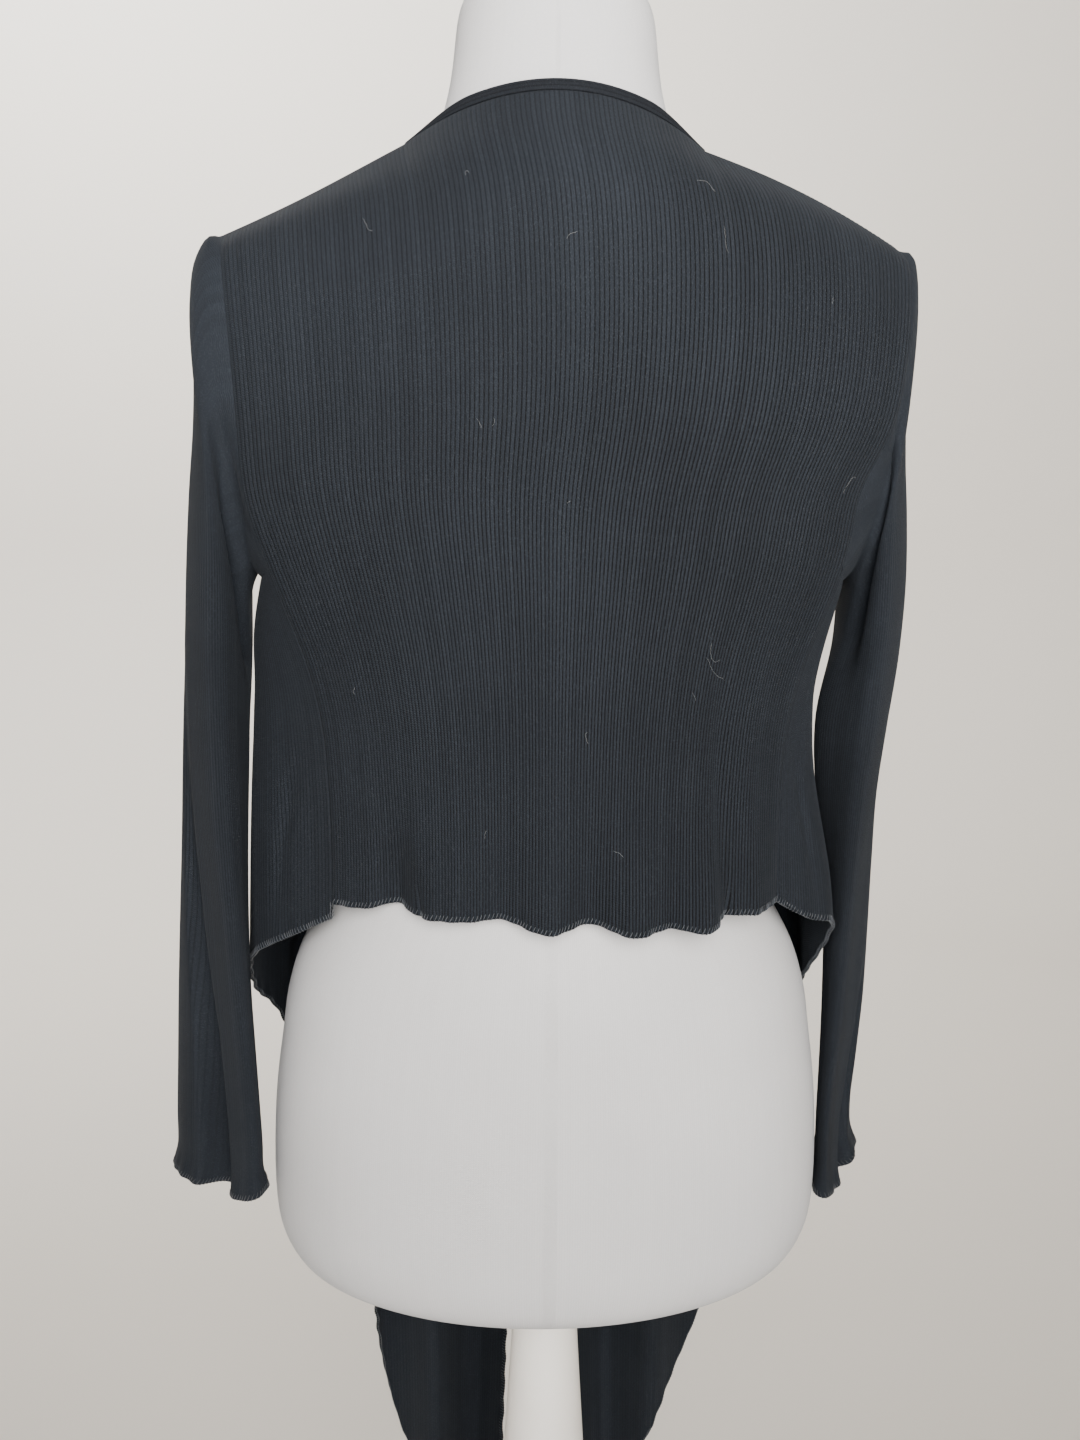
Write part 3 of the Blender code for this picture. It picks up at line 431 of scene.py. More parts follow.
def run_along(points: Array) -> Array:
    """Give the distance covered at each point of a line, from its first point."""
    steps = np.linalg.norm(np.diff(points, axis=0), axis=-1)
    return np.concatenate([[0.0], np.cumsum(steps)])


def points_at(run: Array, values: Array, places: Array) -> Array:
    """Read points or directions that are given along a line at places of its run."""
    return np.stack([np.interp(places, run, values[:, k]) for k in range(3)], axis=-1)


def grid_normals(grid: Array, closed: bool) -> Array:
    """Give the unit normal at each point of a grid, from the cells that meet there.

    Args:
        grid: Points, shaped (rows, columns, 3).
        closed: Whether the last column meets the first.

    Returns:
        Unit vectors that face the way across crossed with the way up the rows.
    """
    if closed:
        grid = np.concatenate([grid, grid[:, :1]], axis=1)
    corner, right, up, far = grid[:-1, :-1], grid[:-1, 1:], grid[1:, :-1], grid[1:, 1:]
    cell = np.cross(far - corner, up - right)
    total = np.zeros_like(grid)
    for rows in (slice(None, -1), slice(1, None)):
        for columns in (slice(None, -1), slice(1, None)):
            total[rows, columns] += cell
    if closed:
        total[:, 0] += total[:, -1]
        total = total[:, :-1]
    return unit(total)


class GarmentForm:
    """Where each cloth piece hangs: the same surfaces as the solids, at any fineness."""

    def tuck(self, z: Array) -> Array:
        """Give how far the right armhole is drawn in at a height."""
        return RIGHT_TUCK * np.exp(-(((z - RIGHT_TUCK_AT) / RIGHT_TUCK_SPREAD) ** 2))

    def back_edge(self, level: Array, side: int) -> Array:
        """Give the side seam and armhole of the back at levels, on side -1 or 1.

        Args:
            level: Shares from 0 at the hem to 1 at the shoulder.
            side: -1 for the left, 1 for the right.

        Returns:
            A point for each level.
        """
        levels = np.linspace(0, 1, len(BACK_LEVELS))
        x, y, z = smooth_through(levels, [row[:3] for row in BACK_LEVELS], np.atleast_1d(level)).T
        return np.stack([side * x + middle_x(z) - max(side, 0) * self.tuck(z), y, z], axis=-1)

    def neck_line(self, across: Array) -> tuple[Array, Array]:
        """Give depth and height of the back's top edge, as shares of the way to its tip.

        Args:
            across: Shares from -1 at the left shoulder's tip to 1 at the right.

        Returns:
            The share of the way forward and the share of the way down, at each place.
        """
        share = np.abs(across)
        neck = NECK_HALF / SHOULDER_HALF
        top = BACK_LEVELS[-1]
        drop = (top.middle_z - NECK_POINT[1]) / (top.middle_z - top.edge_z)
        forward = (NECK_POINT[0] - top.middle_y) / (top.edge_y - top.middle_y)
        inside = share / neck
        outside = np.clip((share - neck) / (1 - neck), 0, 1)
        bow = np.where(across < 0, SHOULDER_BOW[-1], SHOULDER_BOW[1]) * np.sin(math.pi * outside)
        bow = bow / (top.middle_z - top.edge_z)
        height = np.where(share < neck, drop * inside**2.2, drop + (1 - drop) * outside - bow)
        depth = np.where(share < neck, forward * inside**1.9, forward + (1 - forward) * outside)
        return depth, height

    def back(self, across: Array, levels: Array) -> Array:
        """Lay out the back panel.

        Args:
            across: Shares from -1 at the left edge to 1 at the right.
            levels: Shares from 0 at the hem to 1 at the shoulder line.

        Returns:
            Points of the cloth's middle, shaped (levels, across, 3).
        """
        rows = smooth_through(np.linspace(0, 1, len(BACK_LEVELS)), BACK_LEVELS, levels)[:, None, :]
        edge_x, edge_y, edge_z, middle_y, middle_z, neck = np.moveaxis(rows, -1, 0)
        wave_x, wave_out, wave_rise = np.array(HEM_WAVES).T
        share = np.abs(across)[None, :]
        depth_top, height_top = self.neck_line(across)
        height = (1 - neck) * share**2 + neck * height_top
        depth = (1 - neck) * share**BACK_ROUNDNESS + neck * depth_top
        z = middle_z + (edge_z - middle_z) * height
        y = middle_y + (edge_y - middle_y) * depth
        near_hem = fade((z - BACK_LEVELS[0].edge_z) / HEM_WAVE_REACH) ** 1.5
        y = y + near_hem * smooth_through(wave_x, wave_out, across * BACK_LEVELS[0].edge_x)
        z = z + near_hem * smooth_through(wave_x, wave_rise, across * BACK_LEVELS[0].edge_x)
        x = across * edge_x + middle_x(z) - np.maximum(across, 0) ** 2 * self.tuck(z)
        return np.stack([x, y, z], axis=-1)

    def front_plan(self, side: int, across: Array, z: Array) -> Array:
        """Give where a front hangs in plan at shares across it and heights, before its top.

        Args:
            side: -1 for the left, 1 for the right.
            across: Shares from 0 at the side seam to 1 at the free edge.
            z: The height of each place.

        Returns:
            X, away from the middle, and Y of each place.
        """
        table = LEFT_FRONT if side < 0 else RIGHT_FRONT
        rows = smooth_through([row.z for row in table], table, z)
        below_arm = [row for row in BACK_LEVELS if row.edge_z <= ARMHOLE_FRONT[0].z]
        seam = smooth_through([row.edge_z for row in below_arm], [row[:2] for row in below_arm], z)
        xs = np.concatenate([seam[..., :1], rows[..., 1:11:2]], axis=-1)
        ys = np.concatenate([seam[..., 1:], rows[..., 2:11:2]], axis=-1)
        paths = np.stack([xs, ys], axis=-1)
        points = smooth_between(STATIONS, paths, across)
        ahead = smooth_between(STATIONS, paths, np.minimum(across + 0.002, 1.0))
        behind = smooth_between(STATIONS, paths, np.maximum(across - 0.002, 0.0))
        slopes = unit(ahead - behind)
        turn = FOLDS_ACROSS * 2 * math.pi * (across - FOLD_START) / (1 - FOLD_START)
        turn = turn + (RIGHT_FOLD_TURN if side > 0 else 0.0)
        out = rows[..., 11] * (1 - fade((across - FOLD_START) / 0.15)) * np.sin(turn)
        points[..., 0] += slopes[..., 1] * out
        points[..., 1] -= slopes[..., 0] * out
        return points

    def front_top(self, side: int, across: Array) -> Array:
        """Give the upper boundary of a front: armhole, shoulder and free edge, before the lean.

        Args:
            side: -1 for the left, 1 for the right.
            across: Shares from 0 at the side seam to 1 at the free edge.

        Returns:
            A point for each share, with X as the distance from the middle.
        """
        arm, neck = ARMHOLE_FRONT[-1].across, FREE_EDGE[0].across
        armhole = smooth_through([p.across for p in ARMHOLE_FRONT], [p[1:] for p in ARMHOLE_FRONT], across)
        free = smooth_through([p.across for p in FREE_EDGE], [p[1:] for p in FREE_EDGE], across)
        along = np.clip((across - arm) / (neck - arm), 0, 1)
        seam_across = side * (1 + along * (NECK_HALF / SHOULDER_HALF - 1))
        shoulder = self.back(seam_across, np.array([1.0]))[0]
        shoulder[:, 0] = side * (shoulder[:, 0] - middle_x(shoulder[:, 2]))
        on_arm, on_edge = (across <= arm)[:, None], (across >= neck)[:, None]
        return np.where(on_arm, armhole, np.where(on_edge, free, shoulder))

    def front(self, side: int, across: Array, rows: int) -> Array:
        """Lay out a front from its hem, row 0, to its upper boundary, on side -1 or 1.

        Args:
            side: -1 for the left, 1 for the right.
            across: Shares from 0 at the side seam to 1 at the free edge.
            rows: How many steps there are from hem to boundary.

        Returns:
            Points of the cloth's middle, shaped (rows + 1, across, 3).
        """
        top = self.front_top(side, across)
        drop = [point.left if side < 0 else point.right for point in FRONT_HEM]
        hem = smooth_through([point.across for point in FRONT_HEM], drop, across)
        shares = np.linspace(0, 1, rows + 1)[:, None]
        seam = self.back_edge(np.linspace(0, UNDERARM_LEVEL, rows + 1), side)
        seam_share = ((seam[:, 2] - seam[0, 2]) / (seam[-1, 2] - seam[0, 2]))[:, None]
        spread = fade(across / 0.3)[None, :]
        shares = shares * (1 - spread) + seam_share * spread
        z = hem[None, :] + (top[None, :, 2] - hem[None, :]) * shares
        plan = self.front_plan(side, np.broadcast_to(across, z.shape), z)
        miss = top[:, :2] - plan[-1]
        over_arm = fade((across - ARMHOLE_FRONT[-1].across) / 0.06)
        reach = SHOULDER_EASE + (ARMHOLE_EASE - SHOULDER_EASE) * over_arm
        ease = fade((top[None, :, 2] - z) / reach[None, :])
        plan = plan + miss[None] * ease[..., None]
        grid = np.stack([side * plan[..., 0] + middle_x(z), plan[..., 1], z], axis=-1)
        grid[:, 0] = seam
        return grid

    def armhole(self, side: int) -> Array:
        """Give the armhole as a closed line, from the shoulder down the back and up the front.

        Args:
            side: -1 for the left, 1 for the right.

        Returns:
            Points of the armhole's seam.
        """
        back = self.back_edge(np.linspace(1, UNDERARM_LEVEL, 121)[:-1], side)
        across = np.linspace(0, ARMHOLE_FRONT[-1].across, 241)[:-1]
        front = self.front_top(side, across)
        front[:, 0] = side * front[:, 0] + middle_x(front[:, 2])
        return np.concatenate([back, front])

    def sleeve(self, side: int, columns: int, rows: int) -> Array:
        """Lay out a sleeve from the armhole down, its columns evenly spread round a lower ring.

        Args:
            side: -1 for the left, 1 for the right.
            columns: Points round the sleeve.
            rows: How many steps there are down the sleeve.

        Returns:
            Points of the cloth's middle, shaped (rows + 1, columns, 3).
        """
        table = LEFT_SLEEVE if side < 0 else RIGHT_SLEEVE
        loop = self.armhole(side)
        middle = (loop.max(axis=0) + loop.min(axis=0)) / 2
        half = (loop.max(axis=0) - loop.min(axis=0)) / 2
        angle = np.arctan2(-(loop[:, 1] - middle[1]) / half[1], (loop[:, 2] - middle[2]) / half[2])
        angle = np.mod(angle, 2 * math.pi)
        order = np.argsort(angle)
        dense = np.linspace(0, 2 * math.pi, 2001)
        sample = table[9]
        round_run = run_along(
            np.stack([np.cos(dense) * 0.024, np.sin(dense) * sample.half_depth], axis=-1)
        )
        angles = np.interp(np.arange(columns) / columns * round_run[-1], round_run, dense)
        first = np.stack(
            [np.interp(angles, angle[order], loop[order, k], period=2 * math.pi) for k in range(3)], axis=-1
        )
        rings = [first]
        for ring in table:
            outer = np.array([side * ring.outer_x, 0.0, ring.outer_z])
            inner = np.array([side * ring.inner_x, 0.0, ring.inner_z])
            reach = np.linalg.norm(outer - inner) / 2
            outward = (outer - inner) / (2 * reach)
            away = np.cos(angles) * reach
            deep = -np.sin(angles) * ring.half_depth
            offset = np.angle(np.exp(1j * (angles - DENT_AT)))
            dent = ring.dent * np.exp(-((offset / DENT_SPREAD) ** 2))
            away = away - dent * math.cos(DENT_AT)
            deep = deep + dent * math.sin(DENT_AT)
            away = away + math.tan(math.radians(ring.turn)) * deep
            centre = (outer + inner) / 2 + np.array([0.0, ring.y, 0.0])
            far = np.maximum(deep, 0) / ring.half_depth
            rise = CUFF_RISE * far * fade((ring.outer_z - table[-1].outer_z) / CUFF_RISE_REACH)
            rings.append(centre + away[:, None] * outward + np.stack([0 * deep, deep, rise], axis=-1))
        rings = np.array(rings)
        steps = np.linalg.norm(np.diff(rings, axis=0), axis=-1).mean(axis=1)
        down = np.concatenate([[0.0], np.cumsum(steps)])
        places = np.linspace(0, down[-1], rows + 1)
        return smooth_through(down, rings.reshape(len(rings), -1), places).reshape(rows + 1, columns, 3)


def linear_from_srgb(value: float) -> float:
    """Turn one sRGB channel from 0 to 1 into linear light."""
    return value / 12.92 if value <= 0.04045 else ((value + 0.055) / 1.055) ** 2.4


def colour(hex_code: str) -> Colour:
    """Turn a colour such as '#3a3f45' into linear RGBA.

    Args:
        hex_code: Six sRGB hex digits after a #.

    Returns:
        Red, green, blue and alpha as Blender's sockets take them.
    """
    channels = [int(hex_code[i : i + 2], 16) / 255 for i in (1, 3, 5)]
    red, green, blue = (linear_from_srgb(channel) for channel in channels)
    return (red, green, blue, 1.0)


def add_node(
    tree: bpy.types.NodeTree,
    kind: str,
    inputs: dict[Union[str, int], Setting] | None = None,
    output: str = "",
    **settings,
) -> bpy.types.NodeSocket:
    """Add a node with its settings, input values and links.

    Args:
        tree: The material's node tree.
        kind: The node's type name, such as "ShaderNodeMath".
        inputs: Input name or number to a value, or to the output that feeds it.
        output: Name of the output to give, or the first one that is in use.
        settings: The node's own properties, such as operation="ADD".

    Returns:
        The new node's output.
    """
    node = tree.nodes.new(kind)
    for key, value in settings.items():
        setattr(node, key, value)
    for key, value in (inputs or {}).items():
        named = [s for s in node.inputs if s.enabled and s.name == key]
        socket = node.inputs[key] if isinstance(key, int) else named[0]
        if isinstance(value, bpy.types.NodeSocket):
            tree.links.new(value, socket)
        else:
            socket.default_value = value
    return next(s for s in node.outputs if s.enabled and output in ("", s.name))


def blank_material(
    name: str, roughness: float
) -> tuple[bpy.types.Material, bpy.types.NodeTree, bpy.types.Node]:
    """Make a material and give it, its tree and its shader.

    Args:
        name: The material's name.
        roughness: Its roughness from 0 to 1.

    Returns:
        The material, its node tree and its Principled shader.
    """
    material = bpy.data.materials.new(name)
    material.use_nodes = True
    tree = material.node_tree
    shader = tree.nodes["Principled BSDF"]
    shader.inputs["Roughness"].default_value = roughness
    return material, tree, shader


@dataclass(frozen=True)
class KnitFinish:
    """A knitted cloth, patterned by its own map: ribs across, stitches along.

    Slant is how far the stitches lean, in stitches for each rib's width away from its crest.
    Flecks and fibres take their scale from fibre_size, and uneven dye from patch_size.
    Rib_spread is how far a rib's tone may be from the mean, as a share.
    """

    name: str
    face: str
    groove: str
    heather: str
    stitch_depth: float = 0.16 * MM
    slant: float = 1.3
    fibre_size: float = 0.4 * MM
    patch_size: float = 110 * MM
    fleck_share: float = 0.22
    rib_spread: float = 0.09
    sheen: float = 0.05
    roughness: float = 0.9

    def build(self) -> bpy.types.Material:
        """Make the material.

        Returns:
            A knit with painted shade in the grooves between its ribs, slanted stitches, heather and fuzz.
        """
        material, tree, shader = blank_material(self.name, self.roughness)
        shader.inputs["Sheen Weight"].default_value = self.sheen
        shader.inputs["Sheen Roughness"].default_value = 0.45
        shader.inputs["Sheen Tint"].default_value = colour("#aab4c2")
        shader.inputs["Specular IOR Level"].default_value = 0.12
        # Slanted stitches: waves along the rib, shifted by the distance from its crest
        knit_map = add_node(tree, "ShaderNodeUVMap", uv_map="knit")
        across = add_node(tree, "ShaderNodeSeparateXYZ", {0: knit_map}, output="X")
        along = add_node(tree, "ShaderNodeSeparateXYZ", {0: knit_map}, output="Y")
        rib = add_node(tree, "ShaderNodeMath", {0: across}, operation="FRACT")
        centred = add_node(tree, "ShaderNodeMath", {0: rib, 1: 0.5}, operation="SUBTRACT")
        from_crest = add_node(tree, "ShaderNodeMath", {0: centred}, operation="ABSOLUTE")
        slanted = add_node(
            tree, "ShaderNodeMath", {0: from_crest, 1: self.slant, 2: along}, operation="MULTIPLY_ADD"
        )
        turned = add_node(tree, "ShaderNodeMath", {0: slanted, 1: 2 * math.pi}, operation="MULTIPLY")
        stitch = add_node(tree, "ShaderNodeMath", {0: turned}, operation="SINE")
        # Fibres stand out of the stitches
        place = add_node(tree, "ShaderNodeTexCoord", output="Object")
        fibre = add_node(
            tree, "ShaderNodeTexNoise", {"Vector": place, "Scale": 1 / self.fibre_size, "Detail": 3.0}
        )
        height = add_node(tree, "ShaderNodeMath", {0: stitch, 1: 0.5, 2: fibre}, operation="MULTIPLY_ADD")
        bump = add_node(
            tree, "ShaderNodeBump", {"Strength": 0.7, "Distance": self.stitch_depth, "Height": height}
        )
        tree.links.new(bump, shader.inputs["Normal"])
        # Colour: painted shade in the grooves, lighter flecks of fibre, and patches where the yarn took more
        # dye
        groove = add_node(
            tree,
            "ShaderNodeMapRange",
            {"Value": from_crest, "From Min": 0.24, "From Max": 0.5},
            interpolation_type="SMOOTHSTEP",
        )
        clear = add_node(tree, "ShaderNodeAttribute", output="Fac", attribute_name=RIB_SHARE)
        groove_shade_share = add_node(tree, "ShaderNodeMath", {0: groove, 1: clear}, operation="MULTIPLY")
        ribbed = add_node(
            tree,
            "ShaderNodeMix",
            {"Factor": groove_shade_share, "A": colour(self.face), "B": colour(self.groove)},
            data_type="RGBA",
        )
        fleck = add_node(
            tree, "ShaderNodeTexNoise", {"Vector": place, "Scale": 0.45 / self.fibre_size, "Detail": 3.0}
        )
        lighten = add_node(
            tree,
            "ShaderNodeMapRange",
            {"Value": fleck, "From Min": 0.5, "From Max": 0.78, "To Max": self.fleck_share},
        )
        heathered = add_node(
            tree,
            "ShaderNodeMix",
            {"Factor": lighten, "A": ribbed, "B": colour(self.heather)},
            data_type="RGBA",
        )
        patch = add_node(
            tree, "ShaderNodeTexNoise", {"Vector": place, "Scale": 1 / self.patch_size, "Detail": 4.0}
        )
        shade = add_node(
            tree,
            "ShaderNodeMapRange",
            {"Value": patch, "From Min": 0.3, "From Max": 0.7, "To Min": 0.88, "To Max": 1.12},
        )
        # No two ribs take quite the same tone
        number = add_node(tree, "ShaderNodeMath", {0: across}, operation="FLOOR")
        chance = add_node(
            tree, "ShaderNodeTexWhiteNoise", {"W": number}, output="Value", noise_dimensions="1D"
        )
        rib_tone = add_node(
            tree,
            "ShaderNodeMapRange",
            {"Value": chance, "To Min": 1 - self.rib_spread, "To Max": 1 + self.rib_spread},
        )
        tone = add_node(tree, "ShaderNodeMath", {0: shade, 1: rib_tone}, operation="MULTIPLY")
        final = add_node(tree, "ShaderNodeHueSaturation", {"Value": tone, "Color": heathered})
        tree.links.new(final, shader.inputs["Base Color"])
        return material


@dataclass(frozen=True)
class ThreadFinish:
    """Sewing thread or loose fibre: one colour with a fine twist."""

    name: str
    face: str
    roughness: float = 0.6
    twist: float = 0.5 * MM

    def build(self) -> bpy.types.Material:
        """Make the material with its twist as a fine bump.

        Returns:
            Thread or fibre in one colour.
        """
        material, tree, shader = blank_material(self.name, self.roughness)
        shader.inputs["Sheen Weight"].default_value = 0.2
        place = add_node(tree, "ShaderNodeTexCoord", output="Object")
        twist = add_node(
            tree, "ShaderNodeTexNoise", {"Vector": place, "Scale": 1 / self.twist, "Detail": 2.0}
        )
        shade = add_node(tree, "ShaderNodeMapRange", {"Value": twist, "To Min": 0.75, "To Max": 1.25})
        tone = add_node(tree, "ShaderNodeHueSaturation", {"Value": shade, "Color": colour(self.face)})
        tree.links.new(tone, shader.inputs["Base Color"])
        bump = add_node(tree, "ShaderNodeBump", {"Strength": 0.4, "Distance": 0.08 * MM, "Height": twist})
        tree.links.new(bump, shader.inputs["Normal"])
        return material


@dataclass(frozen=True)
class PaintFinish:
    """White paint brushed on turned wood, with the grain just showing through."""

    name: str
    face: str
    worn: str
    roughness: float = 0.42

    def build(self) -> bpy.types.Material:
        """Make the material: upright brush marks, soft grain and dust in cloudy patches.

        Returns:
            Satin paint over wood.
        """
        material, tree, shader = blank_material(self.name, self.roughness)
        shader.inputs["Coat Weight"].default_value = 0.12
        shader.inputs["Coat Roughness"].default_value = 0.35
        place = add_node(tree, "ShaderNodeTexCoord", output="Object")
        stretched = add_node(tree, "ShaderNodeMapping", {"Vector": place, "Scale": (1.0, 1.0, 0.06)})
        marks = add_node(tree, "ShaderNodeTexNoise", {"Vector": stretched, "Scale": 420.0, "Detail": 5.0})
        bump = add_node(tree, "ShaderNodeBump", {"Strength": 0.3, "Distance": 0.15 * MM, "Height": marks})
        tree.links.new(bump, shader.inputs["Normal"])
        cloudy = add_node(tree, "ShaderNodeTexNoise", {"Vector": place, "Scale": 14.0, "Detail": 4.0})
        share = add_node(
            tree, "ShaderNodeMapRange", {"Value": cloudy, "From Min": 0.45, "From Max": 0.8, "To Max": 0.5}
        )
        tone = add_node(
            tree,
            "ShaderNodeMix",
            {"Factor": share, "A": colour(self.face), "B": colour(self.worn)},
            data_type="RGBA",
        )
        tree.links.new(tone, shader.inputs["Base Color"])
        rough = add_node(
            tree,
            "ShaderNodeMapRange",
            {"Value": marks, "To Min": self.roughness - 0.06, "To Max": self.roughness + 0.1},
        )
        tree.links.new(rough, shader.inputs["Roughness"])
        return material


@dataclass(frozen=True)
class StageFinish:
    """The studio's pale floor and backdrop, matt with faint unevenness."""

    name: str
    face: str

    def build(self) -> bpy.types.Material:
        """Make the material.

        Returns:
            Matt paper, a little cloudy.
        """
        material, tree, shader = blank_material(self.name, 0.95)
        shader.inputs["Specular IOR Level"].default_value = 0.1
        place = add_node(tree, "ShaderNodeTexCoord", output="Object")
        cloudy = add_node(tree, "ShaderNodeTexNoise", {"Vector": place, "Scale": 1.2, "Detail": 2.0})
        shade = add_node(tree, "ShaderNodeMapRange", {"Value": cloudy, "To Min": 0.98, "To Max": 1.02})
        tone = add_node(tree, "ShaderNodeHueSaturation", {"Value": shade, "Color": colour(self.face)})
        tree.links.new(tone, shader.inputs["Base Color"])
        return material


# Cotton and viscose yarn in a fine 1x1 rib, dyed a navy near black: matt, with painted shade in
# the grooves between the ribs and a faint heather
RIB_KNIT = KnitFinish("rib_knit", face="#1e2228", groove="#08090b", heather="#434a53")
# The neck band is the same knit on its side, stretched: darker and plainer, with flat ribs and a fainter
# painted shade in their grooves
BAND_KNIT = KnitFinish("band_knit", face="#1a1d22", groove="#121418", heather="#363b43")
# Spun polyester overlock thread, a little lighter than the knit: a fine line of loops
OVERLOCK_THREAD = ThreadFinish("overlock_thread", face="#3b4149")
# The cuffs are overlocked in a darker polyester thread, which hardly stands out
CUFF_THREAD = ThreadFinish("cuff_thread", face="#2a2e35")
# Lint: pale cotton hairs caught on the knit, dull and very thin
LINT_FIBRE = ThreadFinish("lint_fibre", face="#777a7c", roughness=0.8)
# Cotton jersey, circular-knitted and drawn over the form: pale grey, soft and even, with a faint painted
# shade in the grooves between its stitches
FORM_JERSEY = KnitFinish(
    "form_jersey",
    face="#c8c9cc",
    groove="#c2c3c6",
    heather="#d4d5d8",
    rib_spread=0.01,
    stitch_depth=0.05 * MM,
    fibre_size=0.6 * MM,
    patch_size=300 * MM,
    fleck_share=0.3,
    sheen=0.1,
    roughness=0.85,
)
# Turned beech, brushed with white satin paint: a low gloss and upright brush marks
WHITE_PAINT = PaintFinish("white_paint_on_wood", face="#f6f4f0", worn="#e6e2db")
# The studio's uncoated paper roll: warm white, matt and nearly even
STUDIO_PAPER = StageFinish("studio_paper", face="#e2ddd5")


def mesh_object(
    name: str,
    points: Array,
    faces: Sequence[Sequence[int]],
    material: bpy.types.Material,
    knit_map: Array | None = None,
    sharp: Array | None = None,
    rib_share: Union[Array, float] = 1.0,
) -> bpy.types.Object:
    """Make a smooth-shaded mesh object.

    Args:
        name: The object's name.
        points: Its points in metres, shaped (count, 3).
        faces: Point numbers of each face.
        material: Its only material.
        knit_map: For each point, the rib and the stitch it lies at.
        sharp: For each point, a number. An edge between points of one number over 0 is sharp.
        rib_share: How clearly the ribs stand, for each point or for all of them, as the strength of the
            painted shade in their grooves.

    Returns:
        The object, linked to the scene.
    """
    mesh = bpy.data.meshes.new(name)
    mesh.from_pydata(points.tolist(), [], faces)
    mesh.materials.append(material)
    mesh.shade_smooth()
    if knit_map is not None:
        corners = np.empty(len(mesh.loops), np.int32)
        mesh.loops.foreach_get("vertex_index", corners)
        layer = mesh.uv_layers.new(name="knit")
        layer.uv.foreach_set("vector", knit_map[corners].astype(np.float32).ravel())
        shares = mesh.attributes.new(RIB_SHARE, "FLOAT", "POINT")
        shares.data.foreach_set("value", np.broadcast_to(rib_share, len(points)).astype(np.float32))
    if sharp is not None:
        ends = np.empty(2 * len(mesh.edges), np.int32)
        mesh.edges.foreach_get("vertices", ends)
        marks = sharp[ends].reshape(-1, 2)
        flags = (marks[:, 0] == marks[:, 1]) & (marks[:, 0] > 0)
        attribute = mesh.attributes.new("sharp_edge", "BOOLEAN", "EDGE")
        attribute.data.foreach_set("value", flags)
    made = bpy.data.objects.new(name, mesh)
    bpy.context.scene.collection.objects.link(made)
    return made


@dataclass(frozen=True)
class Crease:
    """A fold in a cloth piece, along a line on the piece.

    The path gives shares across the piece and up it. Depth is how far the cloth moves along
    its outside, minus for a hollow, and width is the fold's half width in metres. Swell gives
    the share of the depth at even steps along the path.
    """

    path: tuple[tuple[float, float], ...]
    depth: float
    width: float
    sharpness: float = 2.0
    swell: tuple[float, ...] = (0.15, 0.8, 1.0, 0.8, 0.15)


@dataclass(frozen=True)
class Ruffle:
    """The waves of an overlocked edge: how deep and long they are and how far in they reach."""

    depth: float
    length: float
    reach: float
    flare: float = 0.0


@dataclass(frozen=True)
class Lift:
    """Where the last row's edge is drawn up: share across, spread, height and reach."""

    across: float
    spread: float
    height: float
    reach: float


